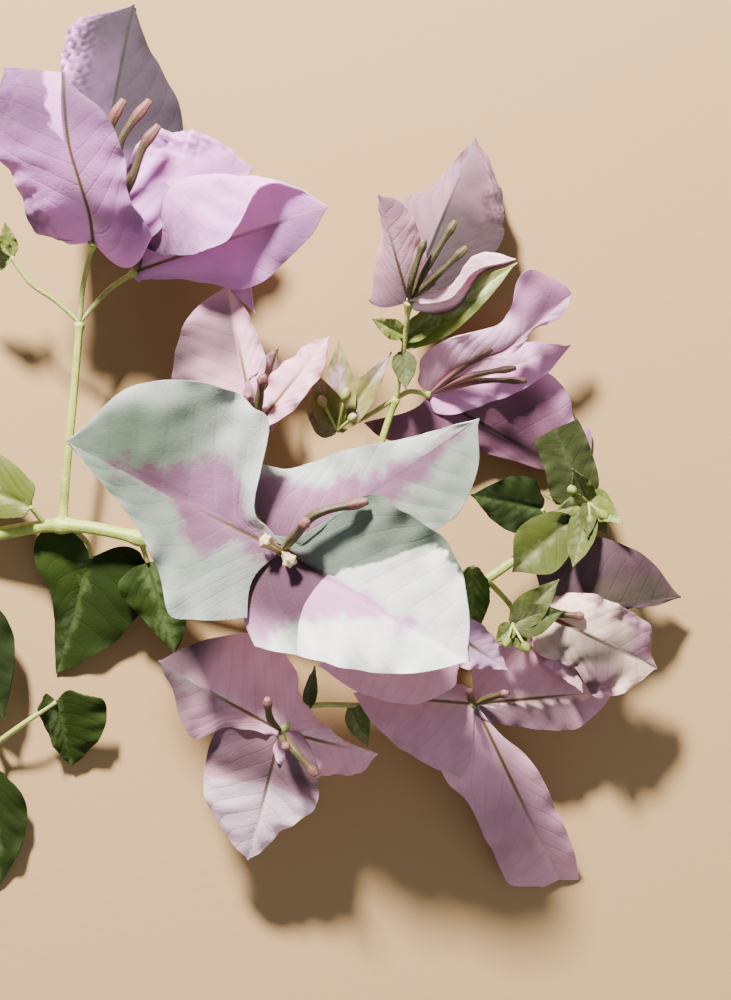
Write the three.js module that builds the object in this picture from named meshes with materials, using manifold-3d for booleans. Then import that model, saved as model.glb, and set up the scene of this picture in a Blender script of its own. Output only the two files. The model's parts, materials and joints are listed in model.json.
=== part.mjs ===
// A cut flowering branch of bougainvillea, lying on a flat surface and meant to be seen from above.
// Millimetres, +Z up. Places are measured along the surface from the point under the heart of the
// white bloom, and up from the surface. At the end the whole branch moves so that its box is centred.
import * as THREE from "three";
import { mergeVertices } from "three/addons/utils/BufferGeometryUtils.js";
import Module from "manifold-3d";

const wasm = await Module();
wasm.setup();

// Driving dimensions
const GAP = 0.3; // clear space between a stalk and the stem that carries it
const BRACT_THICKNESS = 0.7;
const LEAF_THICKNESS = 0.6;
const TIP_HALF_WIDTH = 0.35;
const STALK_RADIUS = 0.6;
const FINEST_DETAIL = 0.03; // corners closer than this to their neighbours' face are left out
const HEART_RADIUS = 1.5; // where a bloom's three bracts meet
const TUBE_FOOT_RADIUS = 0.7; // a flower tube at its foot, waist and swollen mouth
const TUBE_WAIST_RADIUS = 0.85;
const TUBE_MOUTH_RADIUS = 1.25;

// Half-width of a plain egg-shaped blade, as a share of its widest, at even steps from base to tip
const EGG_SHAPE = [0.45, 0.92, 1, 0.8, 0.42, 0];

// Facets
const STEM_FACETS = { sides: 8, steps: 10 };
const STALK_FACETS = { sides: 6, steps: 4 };
const TUBE_FACETS = { sides: 5, steps: 4 };
const BRACT_FACETS = { across: 4, along: 10 };
const ROLLED_FACETS = { across: 8, along: 10 };
const LEAF_FACETS = { across: 4, along: 6 };
const BUD_FACETS = { across: 4, along: 4 };
const HEART_FACETS = { round: 6, down: 4 };
const WING_STEPS = 8; // steps in which a wing's lift and curl are added up from midrib to margin

const GREEN_STEM = { color: 0x8fa648, roughness: 0.5 };
const LILAC = { color: 0xd9b0d8, roughness: 0.6 };
const WHITE_BRACT = { color: 0xf1f3ee, roughness: 0.55 };
const DUSKY_PINK = { color: 0xc9a3b8, roughness: 0.6 };
const PALE_CREAM = { color: 0xe2dcb4, roughness: 0.6 };
const DARK_LEAF = { color: 0x3f6a24, roughness: 0.45 };
const YOUNG_LEAF = { color: 0x9db654, roughness: 0.5 };

// Stems: radii at the lower and upper end, and the places that the middle line passes through
const STEMS = {
  main_stem: {
    radii: [1.5, 0.9],
    path: [[-84, 1.5, 1.5], [-78, 1.5, 1.5], [-66.5, 2.5, 6], [-48, 5, 12], [-32.5, 2.5, 13], [-15.5, -3, 12],
      [2.5, -9, 12], [21.5, -12, 12], [37.5, -9, 12], [51.5, 0, 12], [60.5, 7, 11]],
  },
  shoot_upper_left: {
    on: "main_stem",
    radii: [0.95, 0.8],
    path: [[-48, 5, 12], [-47, 17, 13], [-45.5, 31.5, 14], [-44, 48, 15]],
  },
  shoot_middle: {
    on: "main_stem",
    radii: [0.9, 0.7],
    path: [[12, -10.5, 12], [16, 6, 12], [20, 23, 13], [23, 32, 15]],
  },
  shoot_lower: {
    on: "main_stem",
    radii: [0.9, 0.75],
    path: [[23.5, -12, 12], [29, -19.5, 12], [31.5, -28, 12], [32.5, -33.5, 13]],
  },
  shoot_right: {
    on: "main_stem",
    radii: [0.7, 0.5],
    path: [[38.5, -9, 12], [41.5, -6.5, 18], [44.5, -9, 21], [48, -13, 21]],
  },
  shoot_lower_left: {
    on: "main_stem",
    radii: [0.9, 0.7],
    path: [[-71, 2, 5], [-71.5, -15.5, 5], [-67.5, -33, 5], [-63, -42, 5]],
  },
};

// Blooms: the heart, the stalk's middle line up to it, three bracts, leaflets and the flower tubes.
// A bract's wide lists give its left and right half-width at even steps from base to tip. Where one
// value is given for the two wings, both have it. A wing lifts, rolls and curls by degrees, drift
// moves the midrib sideways, and lobe, heel and shoulder push the margin back or on in millimetres.
const BLOOMS = {
  bloom_white: {
    on: "main_stem", look: WHITE_BRACT, heart: [0, 0, 40],
    stalk: [[-8, -5.5, 12], [-5, -5, 26]],
    bracts: [
      {
        tip: [-42.5, 22, 46], bow: 2, lift: [10, 10], roll: [-7, 3], heel: [-3, -3],
        wide: [[14, 17.5, 20.2, 20.6, 16.3, 12, 8.2, 6.1, 4, 2, 0],
          [1.5, 3, 6, 21.5, 23.4, 24.3, 23.6, 21.8, 18.6, 13.5, 0]],
      },
      {
        tip: [39, 26.5, 44], bow: -2, lift: [6, 8], roll: [-6, -2],
        wide: [[16, 18, 13.6, 11.8, 10.6, 9, 7, 5, 3.3, 1.7, 0],
          [8, 11, 13.5, 15, 15.5, 14.5, 13.6, 13.4, 11, 6.9, 0]],
      },
      {
        tip: [37, -21.5, 47], bow: 1, lift: [14, 3], roll: [6, -6], lobe: [0, -2], heel: [4, 4],
        wide: [[3, 7.7, 17.7, 20.5, 21, 20.5, 19.3, 16.8, 13, 8, 0],
          [19, 18.7, 17.5, 16, 14.6, 13.6, 12.2, 10.2, 7.5, 4, 0]],
      },
    ],
    tubes: [[[-2, 1.2, 43], [-4, 2.9, 45]], [[1, -1, 43.5], [2, -2.4, 45]], [[1.8, 2.5, 45], [5.1, 6.5, 50]],
      [[2.5, 3, 45], [6.4, 7.4, 48.5], [17, 10.2, 50]]],
  },
  bloom_behind: {
    on: "main_stem", look: DUSKY_PINK, heart: [33, -16, 24],
    stalk: [[30.5, -11.5, 12], [32, -13.5, 18]],
    bracts: [
      {
        tip: [7, -23.5, 31], lobe: 2, bow: 2,
        wide: [[10, 12, 13, 13.3, 13.2, 12.4, 11.2, 9.2, 7, 3.8, 0], [8, 10, 10, 9, 6, 0]],
      },
      { tip: [46, -25, 22.5], wide: [[2, 4, 5, 4, 2.5, 0], [2, 4, 5.5, 4, 2, 0]], lobe: 1 },
      { tip: [24, 6, 21], wide: [[5, 9, 9, 7, 4, 0], [1, 2, 3, 3, 2, 0]], lobe: 1 },
    ],
    tubes: [[[30, -12.5, 30], [27.5, -10, 35]]],
  },
  bloom_upper: {
    on: "main_stem", look: DUSKY_PINK, heart: [-6.5, 25.5, 22],
    stalk: [[-15.5, -3, 12], [-10.5, 10.5, 14]],
    bracts: [
      {
        tip: [-12.5, 55.5, 19.5], lobe: 2, bow: 1,
        wide: [[5, 10, 13, 14.5, 14.8, 14.6, 13.8, 12.4, 10, 6.2, 0],
          [3, 3, 2.5, 2.5, 4.5, 4.9, 4.5, 3.8, 2.8, 1.5, 0]],
      },
      { tip: [-2, 43, 14], wide: [[4, 6, 6, 5, 3, 0], [4, 6, 6, 5, 3, 0]], face: [1, 0, 0.6], lobe: 1 },
      {
        tip: [9, 44, 27], face: [-0.5, 0, 1], lobe: 1,
        wide: [[1, 2, 3, 3.8, 4.2, 4.3, 4.2, 3.8, 3, 1.8, 0], [1, 2, 3, 3.8, 4.2, 4.3, 4.2, 3.8, 3, 1.8, 0]],
      },
    ],
    tubes: [[[-7, 29, 26], [-7.5, 32, 31]], [[-5.5, 31, 25], [-4.5, 36, 29]]],
  },
  bloom_top_left: {
    on: "shoot_upper_left", look: LILAC, heart: [-40, 64, 24],
    stalk: [[-44, 48, 15], [-43, 55.5, 17]],
    bracts: [
      {
        tip: [-44, 96, 40], bow: 5, lift: [-4, 24], roll: [-8, -10],
        lobe: [1, 3], heel: [0, 5], shoulder: [2, 0],
        wide: [[7, 11.5, 12.3, 12.8, 13.6, 14.5, 16, 16, 15.5, 14, 12],
          [12, 13, 12, 10.4, 9.8, 10.4, 10, 9.2, 7.5, 2.8, 0.2]],
      },
      {
        tip: [-34, 118.5, 0.5], lobe: 2, bow: 4,
        wide: [[9, 12, 13, 13.5, 13.5, 13.3, 13, 13.2, 13.5, 10.8, 0],
          [10, 14, 15, 15.5, 15.5, 15, 12, 8.5, 5.2, 2.2, 0]],
      },
      {
        tip: [-7, 80, 19],
        wide: [[0.5, 1, 2, 3.5, 12, 15.5, 15, 13.8, 12.2, 8, 0], [0.5, 0.5, 0.5, 0.5, 0.5, 1, 3, 4, 3, 2, 0]],
      },
    ],
    tubes: [[[-38, 78.5, 26], [-35.2, 88.5, 29], [-33, 92.5, 29]],
      [[-35, 78, 28], [-33, 84.5, 31], [-27.5, 92, 31]],
      [[-31.6, 75, 31], [-28.5, 82.5, 33], [-25.5, 86.5, 33]]],
  },
  bloom_top_left_low: {
    on: ["shoot_upper_left", "bloom_top_left"], look: LILAC, heart: [-32, 59, 14],
    stalk: [[-44, 48, 15], [-38, 55, 13.5]],
    bracts: [
      {
        tip: [9, 70, 33], lobe: 1, bow: 1, facets: ROLLED_FACETS,
        lift: [[10, 14, 18, 22, 24, 24, 24, 24, 24, 24, 24], 4], roll: [0, -12],
        wide: [[5, 9, 14.5, 25, 31, 31, 27, 20, 12, 6.5, 0],
          [2, 3, 4.5, 6.5, 8.5, 10.5, 10.5, 8.6, 6.5, 4, 0]],
        curl: [[90, 130, 150, 152, 152, 152, 152, 145, 110, 60, 0], 0],
        curlFrom: [[0.75, 0.6, 0.48, 0.44, 0.42, 0.42, 0.44, 0.52, 0.65, 0.8, 0.9], 0.8],
        curlTo: [[0.95, 0.8, 0.6, 0.55, 0.53, 0.53, 0.56, 0.68, 0.85, 0.95, 1], 1],
      },
      {
        tip: [-6.5, 49.5, 20], drift: [0, -3, -6, -8, -6, 0], lobe: 1,
        wide: [[2, 3, 3.5, 4, 4, 0], [2, 3, 3.5, 4, 3.5, 0]],
      },
      { tip: [-21, 85.5, 8], wide: [[5, 9, 10, 8, 5, 0], [5, 9, 10, 8, 5, 0]], lobe: 1 },
    ],
    tubes: [[[-31.5, 61, 17], [-31, 64, 19]]],
  },
  bloom_top_middle: {
    on: "shoot_middle", look: DUSKY_PINK, heart: [25.5, 51.5, 24],
    stalk: [[23, 32, 15], [24.5, 42, 18]],
    bracts: [
      {
        tip: [40.5, 89.5, 0.5], lobe: 1, bow: 3,
        wide: [[5, 8, 9.5, 10, 9.8, 8, 5, 3.5, 2, 1, 0],
          [4, 7, 9.5, 11.5, 13, 13.2, 12.2, 10.3, 7.3, 3.8, 0]],
      },
      {
        tip: [19, 72, 36], lobe: [0, 1], face: [0.4, -0.3, 1], lift: [[-15, -40, -62, -75, -80, -80], 8],
        wide: [[8, 7.5, 7, 6.5, 6, 5, 4, 3, 2, 1, 0], [5, 6, 6.5, 6.5, 6.3, 6.2, 6.1, 5.9, 5, 3.5, 0]],
      },
      {
        tip: [46.5, 58.5, 40], face: [0, -0.4, 1], lift: [50, 8],
        drift: [0, 0.8, 1.5, 2, 2, 1, -0.5, -1.5, -1.5, -0.8, 0],
        wide: [[0.8, 1.6, 2, 2, 2, 2, 2.2, 2.6, 2.8, 2, 0], [4, 6.5, 8, 7.5, 6.5, 5.2, 4, 2.8, 2, 1.2, 0]],
      },
    ],
    leaflets: [
      { base: [24.5, 45, 19.5], tip: [17.8, 48, 24], wide: 2.2 },
      { base: [24.5, 44, 18.5], tip: [34.5, 51.8, 20], wide: 2.6 },
      { base: [24.4, 41.6, 17.8], tip: [25, 33.5, 21.5], wide: 2.7 },
      { base: [24.5, 43, 17.5], tip: [48.5, 60.5, 16], wide: 4 },
    ],
    tubes: [[[25.8, 55, 29], [28.5, 63.5, 32]], [[28.5, 57, 28], [35, 67.5, 30]],
      [[31, 56, 32], [37, 61.5, 35]]],
  },
  bloom_right_top: {
    on: ["shoot_middle", "bloom_top_middle"], look: LILAC, heart: [30, 33, 10],
    stalk: [[23, 32, 15], [26, 33.5, 12]],
    bracts: [
      {
        tip: [60, 54, 16], lobe: 1, bow: 4, face: [0.3, -0.3, 1],
        drift: [0, -1, -1.5, -1.5, -1, 0, 0, 0, 0, 0, 0],
        wide: [[5, 6, 6, 6, 5.8, 5.6, 5, 7, 10.3, 10.3, 2.5],
          [1, 0.5, 0.3, 0.4, 0.8, 1.4, 1.8, 0.8, 1.6, 2.2, 0]],
      },
      { tip: [60.5, 43.5, 9], wide: [[3, 4, 5, 5, 3, 0], [5, 6, 6, 5.5, 4, 0]], lobe: 1 },
      {
        tip: [65, 14.5, 0.5], lobe: [0, 12],
        wide: [[6, 11, 14, 15.5, 16, 16.3, 15.8, 13.5, 10, 9.5, 0], [12, 13, 12, 10, 7, 5.5, 4, 3, 2, 1, 0]],
      },
    ],
    tubes: [[[36.5, 38, 17], [43, 42, 19]], [[38.5, 36.5, 17], [48, 38, 20]],
      [[40.5, 35.5, 15], [50.5, 35.5, 17]]],
  },
  bloom_right: {
    on: "shoot_right", look: DUSKY_PINK, heart: [54, -13.5, 17],
    stalk: [[48, -13, 21], [51, -13, 20]],
    bracts: [
      { tip: [84.5, -10.5, 6], wide: [[14, 17, 15.5, 12.5, 8, 0], [0.5, 0.7, 1, 1, 1, 0]], lobe: 3, bow: 3 },
      {
        tip: [78, -25, 16], lobe: 2, bow: 4,
        wide: [[4, 5.5, 7, 8, 8.4, 8.5, 8.3, 8, 7, 2.6, 0],
          [5.5, 7.5, 8, 7.8, 7.5, 8.5, 10.8, 10.5, 8.7, 5, 0]],
      },
      { tip: [62, -30, 19], wide: [[3, 5, 5, 4, 2, 0], [3, 5, 5, 4, 2, 0]], lobe: 1 },
    ],
    tubes: [[[57, -13.5, 20], [62, -13.8, 22]]],
  },
  bloom_lower: {
    on: "shoot_lower", look: DUSKY_PINK, heart: [39.5, -32.5, 18],
    stalk: [[32.5, -33.5, 13], [36, -33, 15]],
    bracts: [
      {
        tip: [14, -30, 21], lobe: 1,
        wide: [[15.7, 15.6, 14.9, 14.2, 12.9, 11.7, 10.6, 8.4, 6.2, 3.5, 0], [3, 4, 4, 3, 2, 0]],
      },
      {
        tip: [58.5, -72, 0.5], lobe: 1, bow: 4,
        wide: [[0.5, 1, 2.5, 4.8, 5.8, 6.1, 6.1, 6, 5.8, 5.2, 4],
          [11, 12, 12.5, 12.3, 10.4, 10.2, 10.4, 10.3, 10.5, 9.8, 4]],
      },
      {
        tip: [70, -30.5, 10], lobe: 1,
        wide: [[9, 10.5, 11.5, 12.6, 13, 11, 8.8, 5.5, 3.3, 1.6, 0],
          [3, 4, 4.8, 5.6, 6.3, 6.8, 7.2, 7.4, 5.8, 3, 0]],
      },
    ],
    tubes: [[[42, -31, 21], [46, -29.5, 25]], [[38.5, -31, 22], [38, -29, 26]]],
  },
  bloom_lower_left: {
    on: ["shoot_lower", "bloom_lower"], look: DUSKY_PINK, heart: [-1, -37.5, 24],
    stalk: [[32.5, -33.5, 13], [24, -33.5, 16], [13.5, -32.5, 20], [3.5, -33, 22]],
    bracts: [
      {
        tip: [-26.5, -23, 24], lobe: 1, bow: 2,
        wide: [[1.5, 2, 2.5, 4, 6, 10, 9, 7, 3.8, 2, 0],
          [8, 11.5, 13.5, 14.7, 15.4, 15.2, 13.5, 11.2, 8.3, 4.5, 0]],
      },
      {
        tip: [-8.5, -66, 13], lobe: 2, bow: 2,
        wide: [[5, 7, 9, 10, 11.2, 10.5, 8, 5.4, 3.8, 2.4, 0],
          [9, 12, 13.5, 13.8, 13.6, 13, 12, 9.8, 7, 4, 0]],
      },
      {
        tip: [19, -43.5, 14], lobe: 2, bow: 1,
        wide: [[11.4, 9, 7, 5, 3.6, 2.4, 1.5, 1, 0.6, 0.3, 0],
          [5, 6.5, 7.2, 7.5, 7.4, 7.2, 6.8, 6.2, 5.2, 4, 0]],
      },
    ],
    leaflets: [
      { base: [13.5, -32.5, 20], tip: [17, -41.5, 17], wide: 2.5 },
      { base: [4.5, -33, 22], tip: [6, -24, 25], wide: 1.5 },
    ],
    tubes: [[[-3, -34.5, 29], [-3.5, -30, 33]], [[2, -41, 29], [6.5, -46, 30]],
      [[-0.5, -39, 29], [0.5, -40, 33]]],
  },
};

// Buds and young clusters: small pale bracts, all from one point
const BUDS = {
  buds_young: {
    on: "shoot_middle", look: PALE_CREAM, heart: [10.5, 25, 16], radius: 0.9,
    stalk: [[23, 32, 15], [16.5, 28, 15]],
    bracts: [
      { tip: [4, 29, 18], wide: 3 }, { tip: [11, 44, 18], wide: 4 },
      { tip: [22, 41.5, 19], wide: 3 }, { tip: [5.5, 37.5, 22], wide: 3.5 },
    ],
  },
  buds_left: {
    on: ["shoot_upper_left", "bloom_top_left", "bloom_top_left_low"], look: PALE_CREAM,
    heart: [-58, 61.5, 18], radius: 0.9,
    stalk: [[-44, 48, 15], [-49, 52.5, 16], [-54, 56, 17]],
    bracts: [
      { tip: [-59, 68.5, 20], wide: 2 }, { tip: [-63, 66, 20], wide: 2 }, { tip: [-68.5, 61, 14], wide: 3 },
    ],
  },
  buds_right: {
    on: "main_stem", look: YOUNG_LEAF, heart: [64, 10, 12], radius: 0.9,
    stalk: [[60.5, 7, 11], [62, 8.5, 11.5]],
    bracts: [
      {
        tip: [56.5, 25.5, 15], facets: LEAF_FACETS,
        wide: [[2, 5, 6.5, 7, 6.8, 6.4, 6, 5.8, 5.6, 5.5, 5.3],
          [1, 3, 4, 4.5, 4.8, 5, 5.2, 5.4, 5.5, 5.5, 5.3]],
      },
      { tip: [59.5, -4, 12], wide: 3.2 }, { tip: [69.5, 8.5, 15], wide: 3.4 },
      { tip: [54, 11.5, 14], wide: 2.4 }, { tip: [68, 3, 12], wide: 2.2 },
    ],
  },
  buds_lower_right: {
    on: ["shoot_right", "bloom_right"], look: YOUNG_LEAF, heart: [47, -15.5, 24], radius: 0.9,
    stalk: [[48, -13, 21], [47.5, -14.5, 23]],
    bracts: [
      { tip: [56.5, -6, 26], wide: 3.4 }, { tip: [57.5, -12.5, 26], wide: 3.6 },
      { tip: [43.5, -19, 25], wide: 2 }, { tip: [49.5, -21.5, 24], wide: 2 },
    ],
  },
};

// Leaves: the stalk's middle line from the stem to the blade's base, and the blade
const LEAVES = {
  leaf_node: {
    on: "main_stem", look: DARK_LEAF, stalk: [[-46, 4.5, 12], [-43, 1, 9], [-42.5, -2, 7]],
    blade: {
      tip: [-51, -27.5, 0.5], lobe: 6, heel: 3,
      wide: [[10, 13, 14.3, 14.6, 13.5, 12, 10.8, 8.3, 5.5, 3, 0], [9, 12, 12.5, 10.5, 7, 5, 4, 3, 2, 1, 0]],
    },
  },
  leaf_node_right: {
    on: "main_stem", look: DARK_LEAF, stalk: [[-31.5, 2.5, 13], [-30, -3, 11]],
    blade: {
      tip: [-24.5, -22.5, 9],
      wide: [[3, 5, 6.5, 7, 6.5, 5.5, 5, 4.5, 3.5, 2, 0], [5, 7, 7.5, 7, 6, 5, 4, 3, 2, 1, 0]],
    },
  },
  leaf_upper_left: {
    on: "main_stem", look: YOUNG_LEAF, stalk: [[-51.5, 4.6, 11], [-54.5, 9, 14.5]],
    blade: { tip: [-83, 20, 0.5], wide: [[3, 5, 6, 5, 3, 0], [5, 7, 8, 7, 4, 0]] },
  },
  leaf_left: {
    on: "shoot_lower_left", look: DARK_LEAF, stalk: [[-71, -7, 5], [-72, -11, 7]],
    blade: { tip: [-61, -37, 8], wide: 9 },
  },
  leaf_heart: {
    on: ["shoot_lower_left", "leaf_low"], look: DARK_LEAF,
    stalk: [[-63, -42, 5], [-56, -37, 8], [-50, -33, 8]],
    blade: {
      tip: [-47.5, -47.5, 2], lobe: 2, heel: 2,
      wide: [[6, 9.5, 10.5, 10.4, 10, 9.2, 8, 6.5, 4.6, 2.6, 0],
        [3, 4, 4.2, 4, 3.6, 3.2, 2.8, 2.3, 1.7, 0.9, 0]],
    },
  },
  leaf_low: {
    on: "shoot_lower_left", look: DARK_LEAF, stalk: [[-63, -42, 5], [-65, -48, 5]],
    blade: { tip: [-64.5, -76, 0.5], wide: 8 },
  },
  leaf_right: {
    on: "main_stem", look: DARK_LEAF, stalk: [[55.5, 3.5, 12], [54, 8.5, 15]],
    blade: { tip: [38.5, 11.5, 20], wide: 6 },
  },
  leaf_right_low: {
    on: "main_stem", look: DARK_LEAF, stalk: [[34, -10.3, 12], [35.5, -6, 17], [39, -3.5, 21.5]],
    blade: { tip: [38.5, -19.5, 22], wide: 3.6 },
  },
};

const HELD = { ...BLOOMS, ...BUDS, ...LEAVES };

// What a blade has where nothing else is given, and which of that is a pair for the two wings
const PLAIN_BLADE = {
  face: [0, 0, 1], bow: 0, drift: 0, lift: 8, roll: -10, curl: 0, curlFrom: 0.8, curlTo: 1,
  lobe: 0, heel: 0, shoulder: 0,
};
const WING_KEYS = ["lift", "roll", "curl", "curlFrom", "curlTo", "lobe", "heel", "shoulder"];

const degrees = THREE.MathUtils.degToRad;
const place = (xyz) => new THREE.Vector3(...xyz);

// A smooth curve of values at even steps, read at t from 0 to 1
function readCurve(values, t) {
  const last = values.length - 1;
  const step = Math.min(Math.floor(t * last), last - 1);
  const f = t * last - step;
  const at = (index) => values[THREE.MathUtils.clamp(index, 0, last)];
  const [before, here, next, after] = [at(step - 1), at(step), at(step + 1), at(step + 2)];
  const square = 2 * before - 5 * here + 4 * next - after;
  const cube = 3 * (here - next) + after - before;
  return here + 0.5 * f * (next - before + f * (square + f * cube));
}

// A number is the same all along a blade, and a list is read as a curve
const valueAt = (value, t) => (Array.isArray(value) ? readCurve(value, t) : value);

// A bract or leaf blade with its own axes: along to the tip, up out of its face, and across
function makeBlade(base, given) {
  const blade = { ...PLAIN_BLADE, ...given };
  for (const key of WING_KEYS) {
    blade[key] = Array.isArray(blade[key]) ? blade[key] : [blade[key], blade[key]];
  }
  if (typeof blade.wide === "number") {
    const half = EGG_SHAPE.map((share) => share * blade.wide);
    blade.wide = [half, half];
  }
  blade.base = base.clone();
  const reach = place(blade.tip).sub(base);
  blade.length = reach.length();
  blade.along = reach.normalize();
  const face = place(blade.face);
  blade.up = face.addScaledVector(blade.along, -face.dot(blade.along)).normalize();
  blade.across = blade.along.clone().cross(blade.up);
  return blade;
}

// How far a wing has gone across and up at t, at a share of its way from midrib to margin
function wingReach(blade, wing, t, share) {
  const at = (key) => valueAt(blade[key][wing], t);
  const [lift, roll, curl, curlFrom, curlTo] = ["lift", "roll", "curl", "curlFrom", "curlTo"].map(at);
  const step = Math.max(TIP_HALF_WIDTH, at("wide")) * share / WING_STEPS;
  let across = 0;
  let up = 0;
  for (let k = 0; k < WING_STEPS; k += 1) {
    const u = share * (k + 0.5) / WING_STEPS;
    const angle = degrees(lift + 2 * roll * u + curl * THREE.MathUtils.smoothstep(u, curlFrom, curlTo));
    across += step * Math.cos(angle);
    up += step * Math.sin(angle);
  }
  return { across, up };
}

// The point of a blade at t from base to tip and v from its left margin, -1, to its right, 1
function bladePoint(blade, t, v) {
  const wing = v < 0 ? 0 : 1;
  const share = Math.abs(v);
  const reach = wingReach(blade, wing, t, share);
  const across = reach.across * Math.sign(v) + valueAt(blade.drift, t);
  const up = reach.up + 4 * blade.bow * t * (1 - t);
  const back = blade.lobe[wing] * (1 - t) ** 2 * share ** 2
    + blade.heel[wing] * (1 - t) ** 3 * Math.sin(Math.PI * share) - blade.shoulder[wing] * t ** 6 * share;
  return blade.base.clone().addScaledVector(blade.along, blade.length * t - back)
    .addScaledVector(blade.across, across).addScaledVector(blade.up, up);
}

// The way out of a blade's face at t and v, from the slopes of its surface
function bladeNormal(blade, t, v) {
  const step = 0.02;
  const [t0, t1] = [Math.max(0, t - step), Math.min(1, t + step)];
  const [v0, v1] = [Math.max(-1, v - step), Math.min(1, v + step)];
  const alongSlope = bladePoint(blade, t1, v).sub(bladePoint(blade, t0, v));
  const acrossSlope = bladePoint(blade, t, v1).sub(bladePoint(blade, t, v0));
  return acrossSlope.cross(alongSlope).normalize();
}

// A closed shell: a thin box whose grid takes the blade's shape
function bladeGeometry(blade, thickness, facets) {
  const geometry = new THREE.BoxGeometry(2, 1, 1, facets.across, facets.along, 1);
  const points = geometry.attributes.position;
  for (let i = 0; i < points.count; i += 1) {
    const t = points.getY(i) + 0.5;
    const v = points.getX(i);
    const outward = bladeNormal(blade, t, v);
    const point = bladePoint(blade, t, v).addScaledVector(outward, thickness * points.getZ(i));
    points.setXYZ(i, point.x, point.y, point.z);
  }
  return geometry;
}

// A closed limb: a cylinder whose rings follow a smooth path, with a radius for each step along it
function limbGeometry(path, radiusAt, facets) {
  const curve = new THREE.CatmullRomCurve3(path.map(place), false, "centripetal");
  const frames = curve.computeFrenetFrames(facets.steps);
  const geometry = new THREE.CylinderGeometry(1, 1, 1, facets.sides, facets.steps);
  const points = geometry.attributes.position;
  for (let i = 0; i < points.count; i += 1) {
    const t = points.getY(i) + 0.5;
    const ring = Math.round(t * facets.steps);
    const radius = radiusAt(t);
    const point = curve.getPointAt(t)
      .addScaledVector(frames.binormals[ring], radius * points.getX(i))
      .addScaledVector(frames.normals[ring], radius * points.getZ(i));
    points.setXYZ(i, point.x, point.y, point.z);
  }
  return geometry;
}

function makeSolid(geometry) {
  geometry.deleteAttribute("normal");
  geometry.deleteAttribute("uv");
  const merged = mergeVertices(geometry);
  const vertProperties = new Float32Array(merged.attributes.position.array);
  const triVerts = new Uint32Array(merged.index.array);
  return new wasm.Manifold(new wasm.Mesh({ numProp: 3, vertProperties, triVerts }));
}

// A limb's middle line, carried on past both its ends
function carryOn(path, grow) {
  const points = path.map(place);
  const [first, second] = points;
  const [before, last] = points.slice(-2);
  const start = first.clone().sub(second).setLength(grow);
  const end = last.clone().sub(before).setLength(grow);
  first.add(start);
  last.add(end);
  return points.map((point) => point.toArray());
}

function stemSolid(stem, grow) {
  const radiusAt = (t) => THREE.MathUtils.lerp(stem.radii[0], stem.radii[1], t) + grow;
  return makeSolid(limbGeometry(carryOn(stem.path, grow), radiusAt, STEM_FACETS));
}

function stalkSolid(path, grow) {
  return makeSolid(limbGeometry(carryOn(path, grow), () => STALK_RADIUS + grow, STALK_FACETS));
}

function tubeSolid(path) {
  const radii = [TUBE_FOOT_RADIUS, TUBE_WAIST_RADIUS, TUBE_WAIST_RADIUS, TUBE_MOUTH_RADIUS, TUBE_FOOT_RADIUS];
  return makeSolid(limbGeometry(path, (t) => readCurve(radii, t), TUBE_FACETS));
}

function heartSolid(centre, radius) {
  const ball = new THREE.SphereGeometry(radius, HEART_FACETS.round, HEART_FACETS.down);
  return makeSolid(ball.translate(...centre));
}

const stalkPath = (piece) => (piece.heart ? [...piece.stalk, piece.heart] : piece.stalk);

// The room that a stem or a neighbour's stalk keeps free round itself
function clearRoom(name) {
  return STEMS[name] ? stemSolid(STEMS[name], GAP) : stalkSolid(stalkPath(HELD[name]), GAP);
}

// Joins the pieces, keeps clear of what carries them, and drops any loose scrap
function joinPieces(pieces, carriers) {
  let solid = pieces.reduce((whole, piece) => whole.add(piece));
  for (const carrier of [carriers].flat()) {
    solid = solid.subtract(clearRoom(carrier));
  }
  return solid.simplify(FINEST_DETAIL).decompose().sort((a, b) => b.volume() - a.volume())[0];
}

function bloomSolid(bloom) {
  const pieces = [heartSolid(bloom.heart, bloom.radius ?? HEART_RADIUS)];
  pieces.push(stalkSolid(stalkPath(bloom), 0));
  for (const bract of [...bloom.bracts, ...(bloom.leaflets ?? [])]) {
    const usual = typeof bract.wide === "number" ? BUD_FACETS : BRACT_FACETS;
    const blade = makeBlade(place(bract.base ?? bloom.heart), bract);
    pieces.push(makeSolid(bladeGeometry(blade, BRACT_THICKNESS, bract.facets ?? usual)));
  }
  for (const tube of bloom.tubes ?? []) {
    pieces.push(tubeSolid([bloom.heart, ...tube]));
  }
  return joinPieces(pieces, bloom.on);
}

function leafSolid(leaf) {
  const blade = makeBlade(place(leaf.stalk.at(-1)), leaf.blade);
  const pieces = [stalkSolid(leaf.stalk, 0), makeSolid(bladeGeometry(blade, LEAF_THICKNESS, LEAF_FACETS))];
  return joinPieces(pieces, leaf.on);
}

// A named mesh of one solid in its own colour
function nodeMesh(name, solid, look) {
  const { vertProperties, triVerts } = solid.getMesh();
  const geometry = new THREE.BufferGeometry();
  geometry.setAttribute("position", new THREE.BufferAttribute(vertProperties, 3));
  geometry.setIndex(new THREE.BufferAttribute(triVerts, 1));
  const material = new THREE.MeshStandardMaterial({ ...look, metalness: 0 });
  const mesh = new THREE.Mesh(geometry, material);
  mesh.name = name;
  return mesh;
}

const branch = new THREE.Group();
for (const [name, stem] of Object.entries(STEMS)) {
  branch.add(nodeMesh(name, joinPieces([stemSolid(stem, 0)], stem.on ?? []), GREEN_STEM));
}
for (const [name, bloom] of Object.entries({ ...BLOOMS, ...BUDS })) {
  branch.add(nodeMesh(name, bloomSolid(bloom), bloom.look));
}
for (const [name, leaf] of Object.entries(LEAVES)) {
  branch.add(nodeMesh(name, leafSolid(leaf), leaf.look));
}

// The origin goes under the middle of the branch's box, on the surface that it lies on
const box = new THREE.Box3().setFromObject(branch);
const middle = box.getCenter(new THREE.Vector3());
branch.position.set(-middle.x, -middle.y, -box.min.z);

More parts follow.
